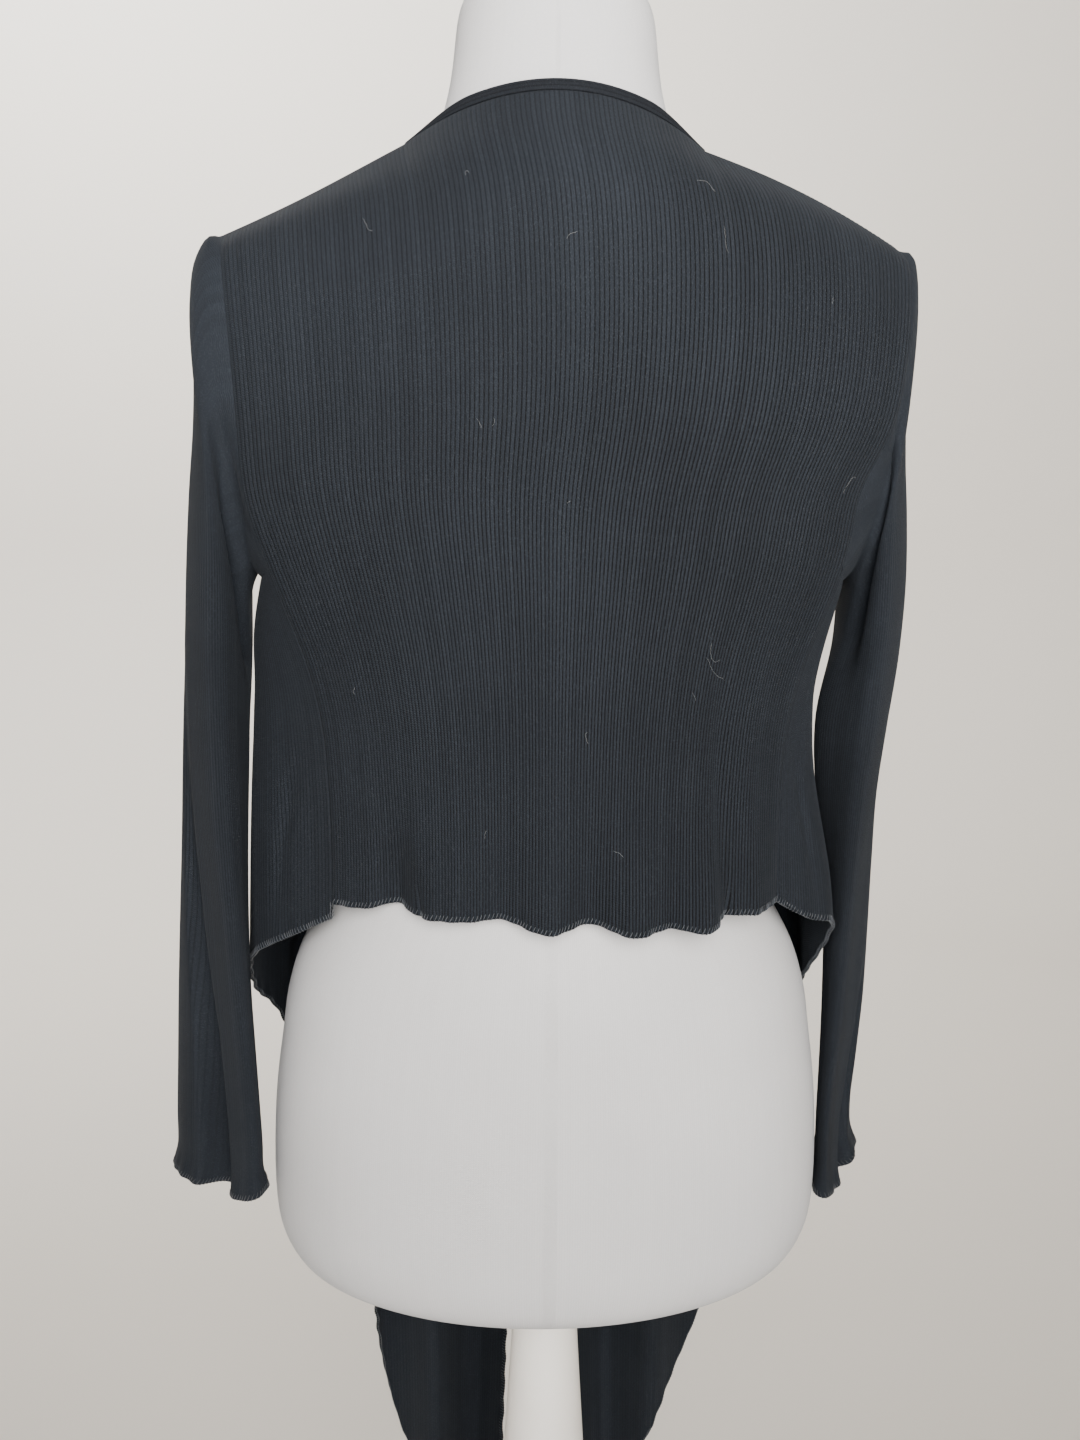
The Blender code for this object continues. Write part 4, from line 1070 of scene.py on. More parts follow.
@dataclass
class ClothPiece:
    """One cut piece of ribbed cloth, as a wall with a ribbed outside and a plain inside.

    The grid is the middle of the cloth. Its rows run up a panel from the hem and down a sleeve
    from the armhole. Outside is 1 where the outer skin faces the way that the grid's normals
    do, and -1 where it faces the other way. Relief is the height of a rib. Clarity is how much
    of it shows, in height and in the painted shade of the grooves, at even steps from the first
    row to the last, and clarity_across the same from the first column. The ribs fade out
    towards the first row within about plain_reach of it.
    """

    name: str
    node: str
    grid: Array
    outside: int
    columns_per_rib: int
    cut: tuple[float, float]
    cut_area: float
    closed: bool = False
    seams: tuple[Edge, ...] = ()
    creases: tuple[Crease, ...] = ()
    relief: float = 0.42 * MM
    clarity: tuple[float, ...] = (1.0, 1.0)
    clarity_across: tuple[float, ...] = (1.0, 1.0)
    plain_reach: float = 0.0
    stitch_height: float = 1.3 * MM
    ruffles: dict[Edge, Ruffle] = field(default_factory=dict)
    lifts: tuple[Lift, ...] = ()

    def __post_init__(self) -> None:
        """Shape the cloth: a drawn-up cuff, creases and wavy edges."""
        for lift in self.lifts:
            self.grid = self.grid + self.drawn_up(lift)[..., None] * np.array([0.0, 0.0, 1.0])
        self.normal = grid_normals(self.grid, self.closed) * self.outside
        for crease in self.creases:
            self.grid = self.grid + self.normal * self.crease_lift(crease)[..., None]
        for edge, ruffle in self.ruffles.items():
            self.grid = self.grid + self.normal * self.ruffle_lift(edge, ruffle)[..., None]
        self.normal = grid_normals(self.grid, self.closed) * self.outside

    def shares(self) -> tuple[Array, Array]:
        """Give the share across and the share up of each point of the grid.

        Returns:
            Both shares, each shaped (rows, columns).
        """
        rows, columns = self.grid.shape[:2]
        last = columns if self.closed else columns - 1
        return np.meshgrid(np.arange(columns) / last, np.arange(rows) / (rows - 1))

    def size(self) -> tuple[float, float]:
        """Give the piece's mean width and height, measured along the cloth.

        Returns:
            Both in metres.
        """
        steps_across = np.linalg.norm(np.diff(self.grid, axis=1), axis=-1).sum(axis=1).mean()
        steps_up = np.linalg.norm(np.diff(self.grid, axis=0), axis=-1).sum(axis=0).mean()
        return float(steps_across), float(steps_up)

    def crease_lift(self, crease: Crease) -> Array:
        """Give how far a crease moves each point of the grid.

        Args:
            crease: The crease, its path in shares of the piece.

        Returns:
            How far each point moves outward in metres, minus for a hollow.
        """
        across, up = self.shares()
        width, height = self.size()
        spots = np.stack([across * width, up * height], axis=-1)
        path = np.array(crease.path) * np.array([width, height])
        best = np.full(across.shape, 1e9)
        along = np.zeros(across.shape)
        runs = run_along(path)
        for start, end, done in zip(path, path[1:], runs):
            line = end - start
            long = float(np.linalg.norm(line))
            t = np.clip(((spots - start) @ line) / long**2, 0, 1)
            apart = np.linalg.norm(spots - (start + t[..., None] * line), axis=-1)
            if self.closed:
                for turn in (-width, width):
                    moved = spots + np.array([turn, 0.0])
                    t2 = np.clip(((moved - start) @ line) / long**2, 0, 1)
                    apart2 = np.linalg.norm(moved - (start + t2[..., None] * line), axis=-1)
                    t = np.where(apart2 < apart, t2, t)
                    apart = np.minimum(apart, apart2)
            along = np.where(apart < best, done + t * long, along)
            best = np.minimum(best, apart)
        steps = np.linspace(0, 1, len(crease.swell))
        swell = smooth_through(steps, crease.swell, np.clip(along / runs[-1], 0, 1))
        return crease.depth * np.exp(-((best / crease.width) ** crease.sharpness)) * swell

    def edge_run(self, edge: Edge) -> tuple[Array, Array]:
        """Give each point's distance from an edge and its place along that edge.

        Args:
            edge: One of the grid's four edges.

        Returns:
            Distance and place in metres, each shaped (rows, columns).
        """
        grid = self.grid if edge in (Edge.FIRST_ROW, Edge.LAST_ROW) else self.grid.swapaxes(0, 1)
        if edge in (Edge.LAST_ROW, Edge.LAST_COLUMN):
            grid = grid[::-1]
        steps = np.linalg.norm(np.diff(grid, axis=0), axis=-1)
        away = np.concatenate([np.zeros((1, steps.shape[1])), np.cumsum(steps, axis=0)])
        place = np.broadcast_to(run_along(grid[0]), away.shape)
        if edge in (Edge.LAST_ROW, Edge.LAST_COLUMN):
            away, place = away[::-1], place[::-1]
        if edge in (Edge.FIRST_COLUMN, Edge.LAST_COLUMN):
            away, place = away.T, place.T
        return away, place

    def ruffle_lift(self, edge: Edge, ruffle: Ruffle) -> Array:
        """Give the wave and the flare of a stretched, overlocked edge, uneven along it.

        Args:
            edge: The edge that waves.
            ruffle: Its waves' sizes.

        Returns:
            How far each point moves outward in metres.
        """
        away, place = self.edge_run(edge)
        whole = max(1, round(place.max() / ruffle.length))
        turn = place / place.max() * whole * 2 * math.pi
        wave = np.sin(turn + 0.9 * np.sin(turn / whole * 3 + 1.0)) * (0.75 + 0.25 * np.sin(turn / whole * 5))
        return (ruffle.depth * wave + ruffle.flare) * fade(away / ruffle.reach) ** 1.5

    def drawn_up(self, lift: Lift) -> Array:
        """Give how far up each point of a tube moves where its last row is drawn up.

        Args:
            lift: Where the row is drawn up, and how far.

        Returns:
            The rise of each point in metres.
        """
        across, _ = self.shares()
        away, _ = self.edge_run(Edge.LAST_ROW)
        apart = np.abs((across - lift.across + 0.5) % 1.0 - 0.5)
        return lift.height * np.exp(-((apart / lift.spread) ** 2)) * fade(away / lift.reach)

    def rib_share(self) -> Array:
        """Give how clearly the ribs stand at each point, in relief and in the painted shade of their
        grooves, by its place and off a sleeve's head.

        Returns:
            Shares of the relief and of the painted groove shade, shaped (rows, columns).
        """
        across, up = self.shares()
        share = np.interp(up, np.linspace(0, 1, len(self.clarity)), self.clarity)
        share = share * np.interp(across, np.linspace(0, 1, len(self.clarity_across)), self.clarity_across)
        if self.plain_reach > 0:
            away, _ = self.edge_run(Edge.FIRST_ROW)
            share = share * (1 - fade(away / self.plain_reach - 0.3))
        return share

    def rib_height(self) -> Array:
        """Give the ribs' relief at each point of the outer skin.

        Returns:
            Heights over the wall's even face, in metres.
        """
        rows, columns = self.grid.shape[:2]
        phase = np.arange(columns) / self.columns_per_rib
        profile = np.abs(np.sin(math.pi * phase)) ** RIB_FULLNESS
        height = (profile - RIB_MIDDLE) * self.relief * self.rib_share()
        for edge in self.ruffles:
            away, _ = self.edge_run(edge)
            near = fade(away / ROLLED_EDGE)
            height = height * (1 - near) + ROLLED_STAND * near
        for edge in self.seams:
            away, _ = self.edge_run(edge)
            near = fade(away / SEAM_FURROW)
            height = height * (1 - near) - SEAM_SINK * near
        return height

    def build(self, material: bpy.types.Material) -> bpy.types.Object:
        """Build the wall.

        Args:
            material: The knit.

        Returns:
            The piece, riding on the part and standing for its node.
        """
        rows, columns = self.grid.shape[:2]
        grid = self.grid.copy()
        for edge in self.seams:
            away, _ = self.edge_run(edge)
            grid += self.seam_shift(edge) * (away < 1e-9)[..., None]
        grid[..., 0] += CLOTH_SHIFT
        outer = grid + self.normal * (WALL / 2 + self.rib_height())[..., None]
        step = self.columns_per_rib
        picked = np.arange(0, columns, step)
        if not self.closed and picked[-1] != columns - 1:
            picked = np.append(picked, columns - 1)
        inner = (grid - self.normal * WALL / 2)[:, picked]
        points = np.concatenate([outer.reshape(-1, 3), inner.reshape(-1, 3)])
        index = np.arange(rows * columns).reshape(rows, columns)
        under = rows * columns + np.arange(rows * len(picked)).reshape(rows, len(picked))
        if self.closed:
            index = np.hstack([index, index[:, :1]])
            under = np.hstack([under, under[:, :1]])
            picked = np.append(picked, columns)
        faces = self.quads(index, self.outside > 0) + self.quads(under, self.outside < 0)
        for row, forward in ((0, self.outside > 0), (rows - 1, self.outside < 0)):
            for j, (start, end) in enumerate(zip(picked, picked[1:])):
                rim = list(index[row, start : end + 1][::-1]) + [under[row, j], under[row, j + 1]]
                faces.append(rim if forward else rim[::-1])
        if not self.closed:
            for end, forward in ((0, self.outside < 0), (-1, self.outside > 0)):
                rims = np.stack([index[:-1, end], under[:-1, end], under[1:, end], index[1:, end]], axis=-1)
                faces += (rims[:, ::-1] if forward else rims).tolist()
        inner_columns = picked[:-1] if self.closed else picked
        knit_map = self.knit_map(columns, inner_columns)
        # Each point's share of the painted shade in the grooves: as it stands on the outer skin, weaker on
        # the inner one
        share = self.rib_share()
        shares = np.concatenate([share.ravel(), INSIDE_CLARITY * share[:, inner_columns].ravel()])
        faces = [[int(i) for i in face] for face in faces]
        marks = self.rim_marks(picked)
        made = mesh_object(self.name, points, faces, material, knit_map, marks, shares)
        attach(made, "root")
        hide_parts(self.node)
        width, height = self.size()
        log.info("%s: %d faces, %.0f x %.0f mm", self.name, len(faces), width / MM, height / MM)
        return made

    def seam_shift(self, edge: Edge) -> Array:
        """Draw the wall back from a seam's line, so that sewn pieces don't touch.

        Args:
            edge: The edge that is sewn.

        Returns:
            The shift of each point, which is zero away from that edge.
        """
        grid = self.grid
        shift = np.zeros_like(grid)
        if edge is Edge.FIRST_ROW:
            shift[0] = unit(grid[1] - grid[0])
        elif edge is Edge.LAST_ROW:
            shift[-1] = unit(grid[-2] - grid[-1])
        elif edge is Edge.FIRST_COLUMN:
            shift[:, 0] = unit(grid[:, 1] - grid[:, 0])
        else:
            shift[:, -1] = unit(grid[:, -2] - grid[:, -1])
        return shift * SEAM_HALF_GAP

    @staticmethod
    def quads(index: Array, forward: bool) -> list:
        """Give the faces of a grid of point numbers.

        Args:
            index: Point numbers, shaped (rows, columns).
            forward: Whether they face the grid's normals.

        Returns:
            Four point numbers for each face.
        """
        a, b, c, d = index[:-1, :-1], index[:-1, 1:], index[1:, 1:], index[1:, :-1]
        order = (a, b, c, d) if forward else (d, c, b, a)
        return np.stack([part.ravel() for part in order], axis=-1).tolist()

    def knit_map(self, columns: int, picked: Array) -> Array:
        """Give each point's rib and stitch for the knit's pattern.

        Args:
            columns: Points across the outer skin.
            picked: The columns that the inner skin uses.

        Returns:
            Two numbers for each point, the outer skin's first.
        """
        rows = self.grid.shape[0]
        up = np.linalg.norm(np.diff(self.grid, axis=0), axis=-1)
        run = np.concatenate([np.zeros((1, columns)), np.cumsum(up, axis=0)]) / self.stitch_height
        rib = np.broadcast_to(np.arange(columns) / self.columns_per_rib, (rows, columns))
        outer = np.stack([rib, run], axis=-1)
        inner = outer[:, picked] + np.array([0.5, 0.0])
        return np.concatenate([outer.reshape(-1, 2), inner.reshape(-1, 2)])

    def rim_marks(self, picked: Array) -> Array:
        """Number the points of each rim line, so that the rims have crisp edges.

        Args:
            picked: The columns that the inner skin uses.

        Returns:
            1 on the outer skin's rims, 2 on the inner skin's and 0 elsewhere.
        """
        rows, columns = self.grid.shape[:2]
        count = len(picked) - 1 if self.closed else len(picked)
        marks = []
        for width, number in ((columns, 1), (count, 2)):
            part = np.zeros((rows, width), int)
            part[0], part[-1] = number, number
            if not self.closed:
                part[:, 0], part[:, -1] = number, number
            marks.append(part.ravel())
        return np.concatenate(marks)

    def edge_frame(self, edge: Edge) -> tuple[Array, Array, Array]:
        """Give an edge's points, the outward direction and the way into the cloth there.

        Args:
            edge: One of the grid's four edges.

        Returns:
            Points, unit vectors outward and unit vectors into the cloth.
        """
        grid, normal = self.grid.copy(), self.normal
        grid[..., 0] += CLOTH_SHIFT
        if edge is Edge.FIRST_ROW:
            line, out, inward = grid[0], normal[0], grid[2] - grid[0]
        elif edge is Edge.LAST_ROW:
            line, out, inward = grid[-1], normal[-1], grid[-3] - grid[-1]
        elif edge is Edge.FIRST_COLUMN:
            line, out, inward = grid[:, 0], normal[:, 0], grid[:, 4] - grid[:, 0]
        else:
            line, out, inward = grid[:, -1], normal[:, -1], grid[:, -5] - grid[:, -1]
        return line, out, unit(inward)


@dataclass(frozen=True)
class Overlock:
    """Stitches of thread that wrap a cut edge, slanted along it."""

    pitch: float = 2.3 * MM
    tall: float = 3.4 * MM
    slant: float = 1.5 * MM
    thread: float = 0.46 * MM
    wall_stand: float = 0.3 * MM
    sides: int = 4

    def stitch_lines(self, line: Array, out: Array, inward: Array) -> Array:
        """Give each stitch's middle line, shaped (stitches, points, 3).

        Args:
            line: The edge's points.
            out: The outward direction at each of them.
            inward: The way into the cloth at each of them.

        Returns:
            The lines, one for each stitch.
        """
        run = run_along(line)
        count = int(run[-1] / self.pitch)
        places = (np.arange(count) + 0.5) * self.pitch
        front = WALL / 2 + self.wall_stand
        # The thread's way from the outside over the edge to the inside: rise, stand and shift
        legs = [
            (self.tall, front, self.slant),
            (self.tall * 0.5, front + 0.12 * MM, self.slant * 0.5),
            (0.05 * MM, front, 0.0),
            (-0.45 * MM, 0.0, -self.slant * 0.1),
            (0.2 * MM, -WALL / 2 - 0.1 * MM, -self.slant * 0.3),
            (self.tall * 0.7, -WALL / 2 - 0.1 * MM, -self.slant * 0.6),
        ]
        lines = []
        for rise, stand, shift in legs:
            foot = points_at(run, line, places + shift)
            outward = unit(points_at(run, out, places + shift))
            into = unit(points_at(run, inward, places + shift))
            lines.append(foot + outward * stand + into * rise)
        return np.stack(lines, axis=1)

    def build(
        self, name: str, frames: Sequence[tuple[Array, Array, Array]], material: bpy.types.Material
    ) -> bpy.types.Object:
        """Build the stitches of one or more edges as one piece.

        Args:
            name: The piece's name.
            frames: Each edge's points, outward directions and directions into the cloth.
            material: The thread.

        Returns:
            The piece, riding on the part.
        """
        lines = np.concatenate([self.stitch_lines(*frame) for frame in frames])
        points, faces = tubes(lines, self.thread / 2, self.sides)
        made = mesh_object(name, points, faces, material)
        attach(made, "root")
        log.info("%s: %d stitches", name, len(lines))
        return made


# How thin a thread or a hair is at its ends
TUBE_END = 0.55


def tubes(lines: Array, radius: float, sides: int) -> tuple[Array, list]:
    """Sweep a round section along many lines of equally many points.

    Args:
        lines: The lines, shaped (lines, points, 3).
        radius: The section's radius, drawn in at both ends.
        sides: Points round the section.

    Returns:
        Points and faces of all the tubes.
    """
    tangent = unit(np.gradient(lines, axis=1))
    helper = np.where(np.abs(tangent[..., 2:3]) < 0.9, [[[0.0, 0.0, 1.0]]], [[[1.0, 0.0, 0.0]]])
    first = unit(np.cross(tangent, helper))
    second = np.cross(tangent, first)
    angles = np.arange(sides) * 2 * math.pi / sides
    scale = np.full(lines.shape[1], radius)
    scale[0] = scale[-1] = radius * TUBE_END
    ring = first[:, :, None] * np.cos(angles)[:, None] + second[:, :, None] * np.sin(angles)[:, None]
    points = lines[:, :, None] + ring * scale[None, :, None, None]
    count, long = lines.shape[:2]
    index = np.arange(count * long * sides).reshape(count, long, sides)
    turned = np.roll(index, -1, axis=2)
    sides_of = np.stack([index[:, :-1], turned[:, :-1], turned[:, 1:], index[:, 1:]], axis=-1).reshape(-1, 4)
    faces = sides_of.tolist() + index[:, 0, ::-1].tolist() + index[:, -1].tolist()
    return points.reshape(-1, 3), faces


@dataclass(frozen=True)
class NeckBand:
    """The narrow folded band that stands along the back of the neck."""

    columns: int = 121
    foot_gap: float = 0.3 * MM
    end_height: float = 0.14
    end_run: float = 0.22
    stitch: float = 1.3 * MM
    rib: float = 2.4 * MM
    # The inside, from the foot up to the fold: share of half the wall, share of the height
    inside: tuple[tuple[float, float], ...] = ((1.0, 0.0002), (1.0, 0.3), (1.0, 0.62), (0.9, 0.9))
    # The outside, from the fold down to the foot
    outside: tuple[tuple[float, float], ...] = (
        (0.0, 1.0),
        (0.95, 0.92),
        (1.25, 0.7),
        (1.25, 0.4),
        (0.9, 0.12),
        (0.5, 0.0002),
    )

    def build(self, foot: Array, material: bpy.types.Material) -> bpy.types.Object:
        """Build the band as folded cloth with a rounded upper edge.

        Args:
            foot: The line that it stands on, along the back's top edge.
            material: The knit, turned on its side.

        Returns:
            The band, riding on the part and standing for its node.
        """
        up = unit(np.array([0.0, BAND_LEAN, BAND_HEIGHT]))
        out = unit(np.cross(np.gradient(foot, axis=0), up))
        half = WALL / 2
        section = [(-half * stand, rise) for stand, rise in self.inside]
        section += [(half * stand, rise) for stand, rise in self.outside]
        ends = np.linspace(0, 1, len(foot))
        slope = fade(np.minimum(ends, 1 - ends) / self.end_run)
        low = (self.end_height + (1 - self.end_height) * (1 - slope))[:, None]
        tall = BAND_HEIGHT - self.foot_gap
        rings = [
            foot + out * stand * low + up * (self.foot_gap + rise * tall) * low for stand, rise in section
        ]
        grid = np.array(rings).swapaxes(0, 1)
        grid[..., 0] += CLOTH_SHIFT
        rows, columns = grid.shape[:2]
        index = np.arange(rows * columns).reshape(rows, columns)
        index = np.hstack([index, index[:, :1]])
        faces = ClothPiece.quads(index, True)
        faces += [index[0, :-1].tolist(), index[-1, :-1][::-1].tolist()]
        run = run_along(foot) / self.stitch
        profile = run_along(grid[rows // 2]) / self.rib
        knit_map = np.stack(np.meshgrid(profile, run), axis=-1).reshape(-1, 2)
        made = mesh_object("neck_band_knit", grid.reshape(-1, 3), faces, material, knit_map)
        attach(made, "root")
        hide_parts("neck_band")
        return made


@dataclass(frozen=True)
class Lint:
    """The few pale hairs that lie on the cloth, curled at random from a set seed."""

    seed: int = 7
    points: int = 12
    curl: float = 0.38
    radius: float = 0.06 * MM
    stand: float = 0.55 * MM
    arch: float = 0.25 * MM

    def build(self, pieces: dict[str, ClothPiece], material: bpy.types.Material) -> bpy.types.Object:
        """Build every hair on its piece of cloth, as one piece.

        Args:
            pieces: The cloth pieces by their nodes' names.
            material: The hairs' material.

        Returns:
            The hairs, riding on the part.
        """
        chance = np.random.default_rng(self.seed)
        lines = []
        for node, across, up, length, turn in LINT_HAIRS:
            piece = pieces[node]
            rows, columns = piece.grid.shape[:2]
            r, c = int(up * (rows - 1)), int(across * (columns - 1))
            centre = piece.grid[r, c] + piece.normal[r, c] * (WALL / 2 + self.stand)
            along = unit(piece.grid[min(r + 1, rows - 1), c] - piece.grid[r - 1, c])
            sideways = np.cross(piece.normal[r, c], along)
            t = np.linspace(-0.5, 0.5, self.points)
            heading = (turn + np.cumsum(chance.normal(0, self.curl, self.points)))[:, None]
            steps = length / self.points * (np.cos(heading) * along + np.sin(heading) * sideways)
            line = centre + np.cumsum(steps, axis=0) - steps.sum(axis=0) / 2
            line += piece.normal[r, c] * (self.arch * np.cos(t * 9))[:, None]
            line[:, 0] += CLOTH_SHIFT
            lines.append(line)
        points, faces = tubes(np.array(lines), self.radius, 4)
        made = mesh_object("lint", points, faces, material)
        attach(made, "root")
        return made


class Garment:
    """The cardigan: its cut pieces, neck band, overlocked edges and lint."""

    def __init__(self) -> None:
        """Lay out every piece of cloth."""
        form = GarmentForm()
        neck = np.linspace(-1, 1, NeckBand.columns) * NECK_HALF / SHOULDER_HALF
        across = np.linspace(-1, 1, BACK_RIBS * BACK_RIB_COLUMNS + 1)
        levels = np.linspace(0, 1, BACK_ROWS + 1)
        front_across = np.linspace(0, 1, FRONT_RIBS * FRONT_RIB_COLUMNS + 1)
        self.pieces: dict[str, ClothPiece] = {}
        self.add(
            ClothPiece(
                "back_knit",
                "back_panel",
                form.back(across, levels),
                1,
                columns_per_rib=BACK_RIB_COLUMNS,
                cut=(0.40, 0.46),
                cut_area=0.165,
                seams=(Edge.FIRST_COLUMN, Edge.LAST_COLUMN, Edge.LAST_ROW),
                creases=BACK_CREASES,
                # Clarity sets the ribs' height and the painted shade in their grooves: deepened low down and
                # right of the middle, weakened at the top, standing in for light raking across the ribs
                clarity=(1.25, 1.4, 1.3, 0.9, 0.6),
                clarity_across=(0.8, 0.8, 1.0, 1.4, 1.0),
                ruffles={Edge.FIRST_ROW: Ruffle(0.7 * MM, 12 * MM, 12 * MM)},
            )
        )
        for side in Side:
            self.add(
                ClothPiece(
                    f"front_{side.word}_knit",
                    f"front_{side.word}",
                    form.front(side.value, front_across, FRONT_ROWS),
                    side.value,
                    columns_per_rib=FRONT_RIB_COLUMNS,
                    cut=(0.37, 0.99),
                    cut_area=0.215,
                    seams=(Edge.FIRST_COLUMN, Edge.LAST_ROW),
                    creases=FRONT_CREASES[side],
                    relief=0.3 * MM,
                    clarity=(0.75, 0.75),
                    ruffles={
                        Edge.FIRST_ROW: Ruffle(0.8 * MM, 19 * MM, 16 * MM),
                        Edge.LAST_COLUMN: Ruffle(1.2 * MM, 21 * MM, 14 * MM),
                    },
                )
            )
            self.add(
                ClothPiece(
                    f"sleeve_{side.word}_knit",
                    f"sleeve_{side.word}",
                    form.sleeve(side.value, SLEEVE_RIBS * SLEEVE_RIB_COLUMNS, SLEEVE_ROWS),
                    side.value,
                    columns_per_rib=SLEEVE_RIB_COLUMNS,
                    cut=(0.25, 0.58),
                    cut_area=0.112,
                    closed=True,
                    seams=(Edge.FIRST_ROW,),
                    creases=SLEEVE_CREASES[side],
                    relief=0.2 * MM,
                    clarity=(0.7, 0.9, 0.8, 0.35, 0.1),
                    lifts=CUFF_LIFTS[side],
                    plain_reach=70 * MM,
                    ruffles={Edge.LAST_ROW: Ruffle(0.7 * MM, 14 * MM, 20 * MM, 1.4 * MM)},
                )
            )
        self.neck_line = form.back(neck, np.array([1.0]))[0]

    def add(self, piece: ClothPiece) -> None:
        """Keep a piece under the name of its node."""
        self.pieces[piece.node] = piece

    def build(self) -> None:
        knit, band_knit = RIB_KNIT.build(), BAND_KNIT.build()
        thread, lint, cuff_thread = OVERLOCK_THREAD.build(), LINT_FIBRE.build(), CUFF_THREAD.build()
        overlock = Overlock()
        hem = [self.pieces["back_panel"].edge_frame(Edge.FIRST_ROW)]
        trims = {"back_panel": [overlock.build("back_hem_overlock", hem, thread)]}
        for side in Side:
            front, sleeve = self.pieces[f"front_{side.word}"], self.pieces[f"sleeve_{side.word}"]
            edges = [front.edge_frame(Edge.FIRST_ROW), front.edge_frame(Edge.LAST_COLUMN)]
            cuff = [sleeve.edge_frame(Edge.LAST_ROW)]
            trims[front.node] = [overlock.build(f"front_{side.word}_overlock", edges, thread)]
            trims[sleeve.node] = [overlock.build(f"cuff_{side.word}_overlock", cuff, cuff_thread)]
        for node, piece in self.pieces.items():
            made = piece.build(knit)
        band = NeckBand().build(self.neck_line, band_knit)
        Lint().build(self.pieces, lint)


BACK_CREASES = (
    Crease(((0.86, 0.0), (0.84, 0.16), (0.80, 0.42)), -2.6 * MM, 7 * MM, swell=(1.0, 1.0, 0.6, 0.1)),
    Crease(((0.92, 0.0), (0.90, 0.2), (0.88, 0.4)), 1.6 * MM, 9 * MM, swell=(1.0, 0.8, 0.1)),
    Crease(((0.15, 0.0), (0.17, 0.18)), -2.0 * MM, 6 * MM, swell=(1.0, 0.5, 0.0)),
    # Where the hem steps down at the end of a wave, left and right
    Crease(((0.196, 0.0), (0.200, 0.05)), -3.6 * MM, 2.6 * MM, swell=(1.0, 0.5, 0.0)),
    Crease(((0.870, 0.0), (0.868, 0.05)), -3.0 * MM, 2.6 * MM, swell=(1.0, 0.5, 0.0)),
)
FRONT_CREASES = {
    Side.LEFT: (Crease(((0.10, 0.02), (0.09, 0.25), (0.05, 0.5)), -2.0 * MM, 9 * MM),),
    Side.RIGHT: (Crease(((0.10, 0.02), (0.09, 0.25), (0.05, 0.5)), -2.0 * MM, 9 * MM),),
}
SLEEVE_CREASES = {
    Side.LEFT: (
        # The long fold down the outside, deep at the cuff
        Crease(
            ((0.04, 0.42), (0.085, 0.66), (0.115, 0.78), (0.14, 1.0)),
            -17 * MM,
            12.5 * MM,
            4.0,
            swell=(0.05, 0.3, 0.65, 0.95, 1.0),
        ),
        # The hollow beside the underarm
        Crease(
            ((0.24, 0.03), (0.30, 0.034), (0.36, 0.046), (0.41, 0.07), (0.45, 0.12), (0.47, 0.2)),
            -12 * MM,
            11 * MM,
            2.5,
            swell=(0.1, 0.7, 1.0, 1.0, 0.6, 0.1),
        ),
    ),
    Side.RIGHT: (
        # The fold at the outside of the cuff
        Crease(
            ((0.03, 0.72), (0.055, 0.86), (0.08, 1.0)),
            -15 * MM,
            9 * MM,
            4.0,
            swell=(0.0, 0.35, 0.8, 1.0),
        ),
        # The hollow beside the armhole
        Crease(
            ((0.20, 0.03), (0.26, 0.034), (0.32, 0.046), (0.37, 0.07), (0.40, 0.12), (0.41, 0.22)),
            -8 * MM,
            11 * MM,
            2.5,
            swell=(0.1, 0.8, 1.0, 1.0, 0.5, 0.1),
        ),
        # The sleeve leans on the side under the arm
        Crease(((0.5, 0.14), (0.5, 0.56)), 10 * MM, 24 * MM, swell=(0.15, 0.9, 0.9, 0.45, 0.1)),
    ),
}

# The cuffs are drawn up on the far side of their folds
CUFF_LIFTS = {
    Side.LEFT: (Lift(0.0, 0.13, 9 * MM, 110 * MM), Lift(0.32, 0.12, 3 * MM, 60 * MM)),
    Side.RIGHT: (Lift(-0.04, 0.10, 13 * MM, 90 * MM), Lift(0.52, 0.07, 9 * MM, 90 * MM)),
}

LintHair = namedtuple("LintHair", "node across up length turn")
LINT_HAIRS = [
    LintHair("back_panel", 0.22, 0.86, 14 * MM, 0.9),
    LintHair("back_panel", 0.36, 0.90, 6 * MM, 0.2),
    LintHair("back_panel", 0.68, 0.90, 16 * MM, -0.2),
    LintHair("back_panel", 0.70, 0.83, 18 * MM, 0.1),
    LintHair("back_panel", 0.49, 0.81, 8 * MM, 1.4),
    LintHair("back_panel", 0.86, 0.79, 5 * MM, 0.3),
    LintHair("back_panel", 0.36, 0.61, 6 * MM, 0.1),
    LintHair("back_panel", 0.38, 0.61, 5 * MM, -0.2),
    LintHair("back_panel", 0.50, 0.53, 3 * MM, 0.8),
    LintHair("back_panel", 0.80, 0.33, 24 * MM, 1.2),
    LintHair("back_panel", 0.79, 0.35, 18 * MM, 2.4),
    LintHair("back_panel", 0.76, 0.29, 6 * MM, 0.4),
    LintHair("back_panel", 0.34, 0.12, 5 * MM, 0.1),
    LintHair("back_panel", 0.55, 0.24, 8 * MM, 0.9),
    LintHair("back_panel", 0.09, 0.30, 5 * MM, 0.2),
    LintHair("back_panel", 0.62, 0.10, 7 * MM, 1.0),
    LintHair("back_panel", 0.97, 0.60, 16 * MM, 1.3),
]


